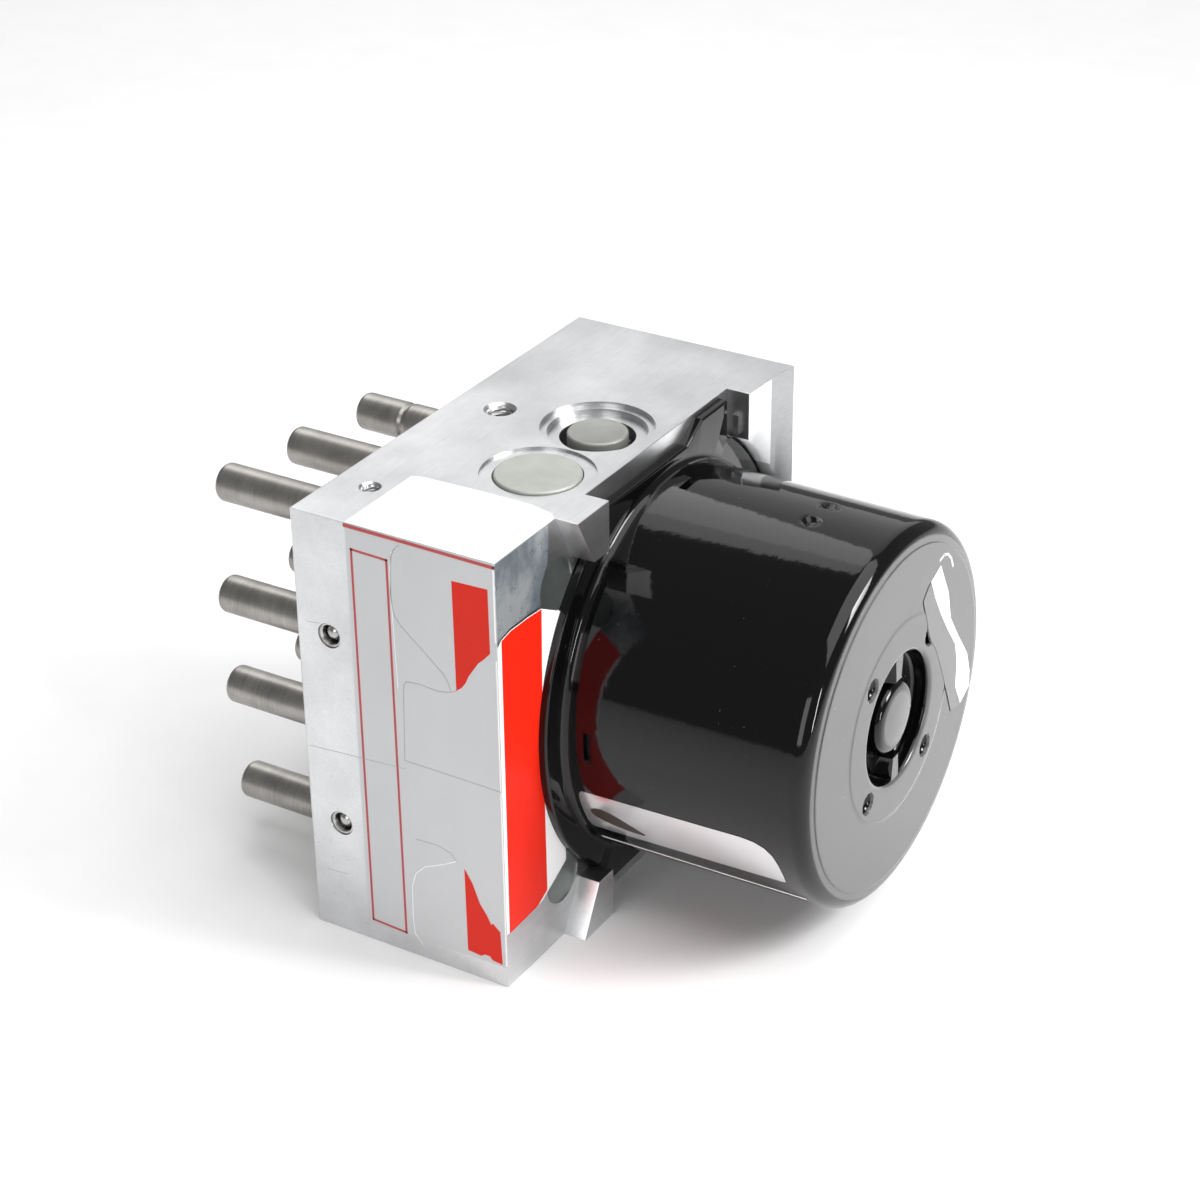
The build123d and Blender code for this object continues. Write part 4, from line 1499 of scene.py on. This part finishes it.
@dataclass(frozen=True)
class Tapping:
    """One size of tapped hole and where its holes open, in millimetres."""

    radius: float
    depth: float
    pitch: float
    heading: Heading
    mouths: tuple[Point, ...]
    steps: int = 48
    start: float = 0.9
    wall: float = 0.05
    height: float = 0.34
    root: float = 0.42
    crest: float = 0.06

    def turns(self) -> Mesh:
        """One helical ridge that stands on a hole's wall and runs into it at both ends.

        Returns:
            The ridge below the origin, in millimetres.
        """
        mesh = bmesh.new()
        count = int((self.depth / self.pitch) * self.steps)
        root, crest = self.root * self.pitch, self.crest * self.pitch
        rows = []
        for k in range(count + 1):
            angle = 2 * math.pi * k / self.steps
            z = -self.start - self.pitch * k / self.steps
            fade = min(1.0, k / (self.steps * 0.5), (count - k) / (self.steps * 0.5))
            outer, inner = self.radius + self.wall, self.radius - self.height * self.pitch * fade
            section = [(outer, z + root), (inner, z + crest),
                       (inner, z - crest), (outer, z - root)]
            rows.append([mesh.verts.new((r * math.cos(angle), r * math.sin(angle), h))
                         for r, h in section])
        fill(mesh, rows)
        mesh.faces.new(rows[0])
        mesh.faces.new(list(reversed(rows[-1])))
        return outward(mesh)


@dataclass
class Threads(Assembly):
    """Thread turns on the walls of the tapped holes, darkened as painted shade inside the holes.
    """

    tappings: tuple[Tapping, ...] = (
        Tapping(2.5, 6.0, 1.0, Heading.UP, ((-22.1, 3.95, D.height),)),
        Tapping(1.65, 6.5, 0.7, Heading.UP, ((-24.6, -36.6, D.height),)),
        Tapping(4.5, 11.0, 1.25, Heading.FAR,
                tuple((-20.0, D.far_face - 0.5, z) for z in (12.0, 34.5, 57.5, 80.0))),
        Tapping(5.5, 11.0, 1.25, Heading.FAR,
                tuple((0.5, D.far_face - 0.5, z) for z in (23.0, 69.0))),
    )

    def build(self) -> None:
        """Make every tapped hole's turns as one piece."""
        parts = []
        for tapping in self.tappings:
            for mouth in tapping.mouths:
                turns = tapping.turns()
                turns.transform(frame_along(tapping.heading, mouth))
                if tapping.heading is Heading.UP:
                    parts.append(other_end(turns))
                parts.append(turns)
        # the tapped finish is painted shade inside the holes
        self.lay("thread_turns", parts, "tapped", "block")


# ---------------------------------------------------------------- printed film


@dataclass
class Labels(Assembly):
    """Blank label films and plain colour fields on the block and the can."""

    film: float = 0.05
    ink: float = 0.02
    near_room: float = 0.08
    top_room: float = 0.09
    top_film: float = 0.07
    on_can: float = 0.02
    over_label: float = 0.08
    frame_line: float = 0.5
    edge_line: float = 0.7
    tear: float = 0.16
    scratch: float = 0.1
    curl: float = 0.12
    # widths of the painted highlights along the block's near corner
    corner_highlight_widths: Pair = (0.34, 0.3)

    def _near(self, outline: Outline, thick: float, lift: float = 0.0) -> Mesh:
        """A flat patch on the near face, from (X, Z) corners."""
        y = D.near_face + self.near_room - lift
        return slab([(x, y, z) for x, z in outline], (0, -thick, 0))

    def _motor(self, outline: Outline, thick: float, lift: float = 0.0) -> Mesh:
        """A flat patch on the motor face, from (Y, Z) corners."""
        x = D.motor_face + lift
        return slab([(x, y, z) for y, z in outline], (thick, 0, 0))

    def _run(self, points: Outline, width: float, lift: float | None = None) -> list[Mesh]:
        """Thin strokes along a line on the near face, or on the film that covers it."""
        lift = self.film if lift is None else lift
        return [self._near(corners, self.ink, lift) for corners in strokes(points, width)]

    def build(self) -> None:
        """Make and dress every film and field."""
        self.near_film()
        self.near_edges()
        self.motor_face()
        self.top_face()
        self.can_side()
        self.spot_faces()

    def near_film(self) -> None:
        """Grey film with two cut red blocks and a framed strip."""
        film = [(-20.4, 3.8), (4.6, 4.4), (11.9, 4.5), (11.9, 91.6), (-20.4, 91.6)]
        self.lay("film_near", [self._near(film, self.film)], "film")
        upper = [(2.7, 86.1), (10.4, 86.4), (10.5, 73.3), (8.9, 71.5), (7.9, 70.6),
                 (6.7, 68.8), (5.6, 67.1), (4.9, 65.5), (4.0, 64.3), (2.8, 63.3)]
        lower = [(2.9, 24.4), (4.6, 21.6), (6.2, 17.4), (7.6, 15.4), (8.6, 13.4), (8.9, 13.9),
                 (10.6, 12.4), (10.9, 4.9), (8.6, 5.2), (8.0, 5.9), (6.9, 5.9), (6.0, 5.3),
                 (3.0, 5.6)]
        blocks = [self._near(shape, self.ink, self.film) for shape in (upper, lower)]
        self.lay("red_blocks_near", blocks, "red_block")
        loop = [(-19.2, 4.9), (-11.4, 4.5), (-11.4, 86.5), (-19.2, 86.7), (-19.2, 4.9)]
        lines = self._run(loop, self.frame_line)
        lines += self._run([(-20.4, 91.3), (-7.4, 91.25)], self.edge_line)
        lines += self._run([(-6.8, 91.25), (11.6, 91.1)], self.edge_line)
        self.lay("red_lines_near", lines, "red_line")

    def near_edges(self) -> None:
        """Torn edges and bright lips of the grey film, painted corner highlights, nearby
        scratches.
        """
        tears = [
            [(-8.5, 90.3), (-9.6, 89.2), (-10.3, 87.6), (-10.7, 84.0), (-10.8, 79.8),
             (-10.6, 77.0), (-10.1, 75.1), (-8.9, 73.6), (-6.9, 71.9), (-2.8, 68.5),
             (0.0, 66.1), (1.0, 64.6), (1.5, 62.9)],
            [(-9.6, 44.5), (-9.1, 59.3), (-8.9, 61.2), (-8.3, 62.0), (-5.5, 62.3),
             (-1.2, 62.0), (1.5, 62.6), (2.8, 63.3)],
            [(-9.5, 44.5), (11.9, 44.3)],
            [(-8.0, 27.4), (-3.0, 27.6), (0.0, 26.8), (1.2, 25.4)],
        ]
        edges = [part for tear in tears for part in self._run(tear, self.tear)]
        edges += self._run([(-20.4, 41.8), (-9.7, 42.6)], self.scratch)
        self.lay("film_tears", edges, "torn_edge")
        lips = [(1.2, 25.4), (-1.2, 24.0), (-6.2, 21.6), (-8.4, 19.4), (-9.4, 16.1), (-9.6, 9.0),
                (-9.3, 5.0), (-7.5, 3.0)]
        # painted highlight: white strokes along the film's edge at the block's vertical corner
        bright = [(11.75, 76.0), (11.75, 91.3)], [(11.8, 5.0), (11.8, 72.0)]
        parts = self._run(lips, self.tear)
        for line, width in zip(bright, self.corner_highlight_widths):
            parts += self._run(line, width)
        parts += self._run([(-10.3, 60.0), (-10.9, 84.0), (-10.2, 88.4)], self.curl)
        self.lay("film_lips", parts, "white_film_and_highlights")
        marks = [[(-32.0, 40.9), (-20.5, 41.8)], [(-29.5, 13.2), (-24.9, 13.6)],
                 [(-30.5, 68.6), (-27.6, 68.9)]]
        scratches = [part for mark in marks for part in self._run(mark, self.scratch, 0.0)]
        self.lay("scribe_marks", scratches, "torn_edge", "block")

    def spot_faces(self) -> None:
        """Dark ring-turned floors of the two spot faces beside the flange."""
        disc = [(0.0, 0.05), (4.2, 0.05), (5.35, 0.07), (5.5, 0.05), (5.5, 0.0), (0.0, 0.0)]
        places = [(11.7, -30.65, 78.2), (11.7, -30.65, 13.8)]
        unit = lathe(disc, Heading.MOTOR, (0, 0, 0), 96)
        item = pattern("spot_faces", unit, places, self.finishes["spot"])
        self.dress(item, "spot", "block")

    def motor_face(self) -> None:
        """White film with the bright bar, and the mottled film above it."""
        white = [(-50.6, 12.2), (-50.6, 74.6), (-49.3, 75.7), (-46.3, 76.3), (-40.5, 76.2),
                 (-35.8, 75.8), (-29.3, 72.2), (-29.3, 66.0), (-36.4, 52.0), (-37.9, 46.0),
                 (-36.4, 40.0), (-29.3, 26.0), (-29.3, 17.0), (-33.0, 15.0), (-38.0, 12.6)]
        self.lay("film_motor_face", [self._motor(white, self.film)], "white_film_and_highlights")
        bar = [(-49.7, 12.0), (-49.3, 75.6), (-46.3, 76.2), (-40.5, 76.1), (-35.8, 75.7),
               (-36.4, 52.0), (-37.9, 46.0), (-36.4, 40.0), (-36.2, 14.0), (-40.0, 12.3)]
        print_on_film = [self._motor(bar, self.ink, self.film)]
        self.lay("red_bar_motor_face", print_on_film, "red_bar")
        mottled = [(-50.6, 75.6), (-49.3, 76.3), (-46.3, 76.9), (-40.5, 76.8), (-35.9, 76.4),
                   (-36.3, 78.5), (-35.6, 81.0), (-33.5, 84.0), (-33.0, 88.0), (-33.0, 91.6),
                   (-50.6, 91.6)]
        self.lay("film_mottled", [self._motor(mottled, self.film)], "mottled", "block")

    def top_face(self) -> None:
        """Glossy white film by the near corner of the top face."""
        outline = [(-20.4, -50.65), (11.9, -50.65), (11.9, -30.6), (10.4, -29.1), (5.4, -28.0),
                   (-5.0, -27.9), (-18.2, -28.4), (-20.4, -29.2)]
        mesh = slab([(x, y, D.height - self.top_room) for x, y in outline],
                    (0, 0, self.top_film))
        self.lay("film_top", [mesh], "white_film_and_highlights")

    def can_side(self) -> None:
        """Silver label on the can's side, a stain below it and a thin strip."""
        label = [(15.8, -160.0, -149.0), (16.0, -162.4, -146.9), (16.7, -163.6, -145.95),
                 (51.0, -164.8, -147.3), (53.6, -164.4, -147.5), (55.8, -163.0, -147.6),
                 (57.2, -160.6, -147.7), (58.0, -157.0, -147.9), (58.4, -152.0, -148.4)]
        self.lay("can_label", [self._band(label, self.on_can)], "foil")
        strip = [(15.8, -137.5, -136.3), (60.4, -137.8, -136.6)]
        self.lay("can_strip", [self._band(strip, self.on_can)], "white_film_and_highlights")
        stain = [(17.6, -156.0, -154.6), (18.4, -157.1, -153.2), (20.0, -157.6, -151.9),
                 (22.0, -156.9, -150.9), (24.0, -155.4, -150.3), (26.5, -153.0, -150.0),
                 (28.6, -150.8, -150.2)]
        self.lay("can_stain", [self._band(stain, self.over_label)], "streak")

    def _band(self, stations: Sequence[Point], lift: float) -> Mesh:
        """Bend a film round the can.

        Args:
            stations: X, first angle and last angle of each cross cut, in order along X.
            lift: how far its underside stands off the can, in millimetres.

        Returns:
            The closed film.
        """
        can, steps, span, thick = MotorCan(self.finishes), 14, 1.5, 0.05
        cuts = []
        for first, second in zip(stations, stations[1:]):
            parts = max(1, round((second[0] - first[0]) / span))
            cuts += [between(first, second, k / parts) for k in range(parts)]
        mesh = bmesh.new()
        rings = []
        for x, first, last in [*cuts, stations[-1]]:
            share = (x - can.front) / (can.end - can.front)
            radius = can.root_radius + (can.end_radius - can.root_radius) * share + lift
            turns = [math.radians(first + (last - first) * k / steps) for k in range(steps + 1)]
            section = [(radius, a) for a in turns] + [(radius + thick, a) for a in turns[::-1]]
            rings.append([mesh.verts.new(D.round_motor(x, r, a)) for r, a in section])
        fill(mesh, rings)
        for ring in (rings[0], rings[-1]):
            for k in range(steps):
                mesh.faces.new((ring[k], ring[k + 1], ring[-k - 2], ring[-k - 1]))
        return to_metres(mesh)


@dataclass
class EndFilm(Assembly):
    """Clear film, a torn white strip as a painted highlight, a cut edge, on the can's end face."""

    face: float = 64.85
    crown: float = 64.91
    film: float = 0.06
    strip: float = 0.1
    ink: float = 0.03
    over_film: float = 0.05
    hook_width: float = 0.45
    cut_width: float = 0.14
    gap_width: float = 0.5

    def _flat(self, outline: Outline, x: float, thick: float) -> Mesh:
        """Patch on the end face, from (Y, Z) corners round the motor's axis."""
        corners = [(x, D.motor_y + y, D.middle + z) for y, z in outline]
        return slab(corners, (thick, 0, 0))

    def _run(self, points: Outline, width: float, x: float) -> list[Mesh]:
        """Strokes along a line on the end face."""
        return [self._flat(corners, x, self.ink) for corners in strokes(points, width)]

    def build(self) -> None:
        """Make and dress the clear film, the white strip and the dark cut."""
        cut = [(10.4, 23.2), (8.5, 21.4), (10.6, 16.2), (11.3, 13.6), (12.9, 10.4), (15.2, 8.0),
               (18.3, 2.0), (22.2, -6.4), (24.3, -11.0)]
        strip = [(15.8, 25.7), (20.0, 18.0), (21.7, 11.5), (25.9, 5.5), (30.7, -0.8),
                 (32.4, -5.6), (32.6, -9.3), (28.7, -11.3), (25.8, -6.1), (25.8, -0.3),
                 (24.6, 4.2), (21.0, 8.9), (16.9, 14.7), (14.0, 19.5), (11.8, 24.0)]
        clear = [*cut, *strip[7:]]
        self.lay("end_clear_film", [self._flat(clear, self.crown, self.film)], "clear_film")
        # painted highlight: the white strip and its hook stand for a shard-like highlight on the
        # torn film
        hook = [(15.6, 27.0), (17.4, 27.4), (19.0, 26.7), (20.7, 25.0), (21.6, 23.0)]
        white = [self._flat(strip, self.face, self.strip)]
        white += self._run(hook, self.hook_width, self.face)
        self.lay("end_strip", white, "white_film_and_highlights")
        over = self.crown + self.over_film
        gap = [(11.0, 14.4), (12.0, 11.7), (12.9, 10.6)]
        dark = self._run(cut[1:], self.cut_width, over) + self._run(gap, self.gap_width, over)
        self.lay("end_cut", dark, "streak")


# ---------------------------------------------------------------- inner pieces and studio


class Dressing(Assembly):
    """Finishes of the CAD nodes that are shown as they are."""

    def build(self) -> None:
        """Give every CAD node the finish of its slot in the record."""
        slots = {row["node"]: row["material_slot"] for row in frame["record"]["subparts"]}
        for name, item in frame["nodes"].items():
            item.data.materials.clear()
            item.data.materials.append(self.finishes[slots[name]])
            LOG.info("%s: finish %s", name, slots[name])


@dataclass(frozen=True)
class Lamp:
    """A soft area light: metres, watts, and degrees of its beam's full angle."""

    name: str
    at: Point
    size: Pair
    power: float
    aim: Point = (0.0, 0.0, 0.05)
    spread: float = 180.0

    def build(self) -> None:
        """Hang the light and turn it to what it lights."""
        lamp = bpy.data.lights.new(self.name, "AREA")
        lamp.shape = "RECTANGLE"
        lamp.size, lamp.size_y = self.size
        lamp.energy = self.power
        lamp.spread = math.radians(self.spread)
        item = bpy.data.objects.new(self.name, lamp)
        item.location = self.at
        direction = Vector(self.aim) - Vector(self.at)
        item.rotation_euler = direction.to_track_quat("-Z", "Y").to_euler()
        bpy.context.scene.collection.objects.link(item)


@dataclass
class Studio:
    """Pale floor, soft lights and the camera, whose place is in millimetres."""

    eye: Point = (256.512, -414.279, 325.669)
    right: Point = (0.85600091, 0.51683755, -0.01189073)
    down: Point = (0.24054964, -0.41855335, -0.87575622)
    ahead: Point = (-0.45760061, 0.74678781, -0.48260714)
    lens: float = 84.70
    sensor: float = 36.0
    nearest: float = 0.01
    surroundings: float = 0.22
    floor_half: float = 3.0
    floor_squares: int = 24
    lamps: tuple[Lamp, ...] = (
        Lamp("over", (0.38, 0.0, 1.1), (1.3, 1.3), 13.0),
        Lamp("far_panel", (-0.55, 1.0, 0.8), (1.3, 1.3), 3.3),
        Lamp("upper_far", (-0.56, 0.5, 0.95), (0.6, 0.6), 2.0),
        Lamp("near_front", (0.1, -1.4, 0.5), (0.7, 0.7), 4.5),
        Lamp("motor_side", (1.2, -0.55, 0.27), (0.08, 0.42), 3.2),
        Lamp("end_floor", (0.5, 0.15, 0.35), (0.2, 0.2), 0.6, (0.14, 0.11, 0.0), 70.0),
    )

    def _floor(self) -> None:
        """Large, flat, pale floor."""
        s = Sheet("studio_floor")
        grain = s.noise(60.0, 3.0, 0.5)
        colour = s.blend(grain.rise(0.2, 0.8), tint(EVEN, 0.93), tint(EVEN, 0.96))
        material = s.finish(base_color=colour, roughness=0.85 + grain * 0.05)
        mesh = bmesh.new()
        half, count = self.floor_half, self.floor_squares
        lines = [2 * half * k / count - half for k in range(count + 1)]
        rows = [[mesh.verts.new((x, y, 0.0)) for y in lines] for x in lines]
        for row, after in zip(rows, rows[1:]):
            for k in range(count):
                mesh.faces.new((row[k], after[k], after[k + 1], row[k + 1]))
        floor = to_object("floor", mesh)
        floor.data.materials.append(material)

    def _world(self) -> None:
        """Dim surroundings that fill the shadows."""
        world = bpy.data.worlds.new("studio")
        bpy.context.scene.world = world
        world.use_nodes = True
        background = world.node_tree.nodes["Background"]
        background.inputs["Color"].default_value = (1.0, 1.0, 1.0, 1.0)
        background.inputs["Strength"].default_value = self.surroundings

    def _look(self) -> None:
        """Plain tone curve, so that white film and red print keep their colours."""
        bpy.context.scene.view_settings.view_transform = "Standard"
        bpy.context.scene.view_settings.look = "None"

    def _camera(self) -> None:
        """Level the camera on the object."""
        camera = bpy.data.cameras.new("camera")
        camera.lens = self.lens
        camera.sensor_width = self.sensor
        camera.clip_start = self.nearest
        item = bpy.data.objects.new("camera", camera)
        columns = (Vector(self.right), -Vector(self.down), -Vector(self.ahead))
        turn = Matrix(columns).transposed().to_4x4()
        item.matrix_world = Matrix.Translation(Vector(self.eye) * MM) @ turn
        bpy.context.scene.collection.objects.link(item)
        bpy.context.scene.camera = item

    def build(self) -> None:
        """Set the stage."""
        self._floor()
        self._world()
        self._look()
        for lamp in self.lamps:
            lamp.build()
        self._camera()
        LOG.info("studio is set")


def main() -> None:
    """Build the object's looks and the studio."""
    logging.basicConfig(level=logging.INFO, format="%(message)s")
    finishes = Finishes()
    kinds = (Dressing, BlockSkin, MotorCan, ValveTubes, EndPlugs, StakeTabs, Springs, Closures,
             Threads, Labels, EndFilm)
    for kind in kinds:
        kind(finishes).build()
    Studio().build()


if __name__ == "__main__":
    main()
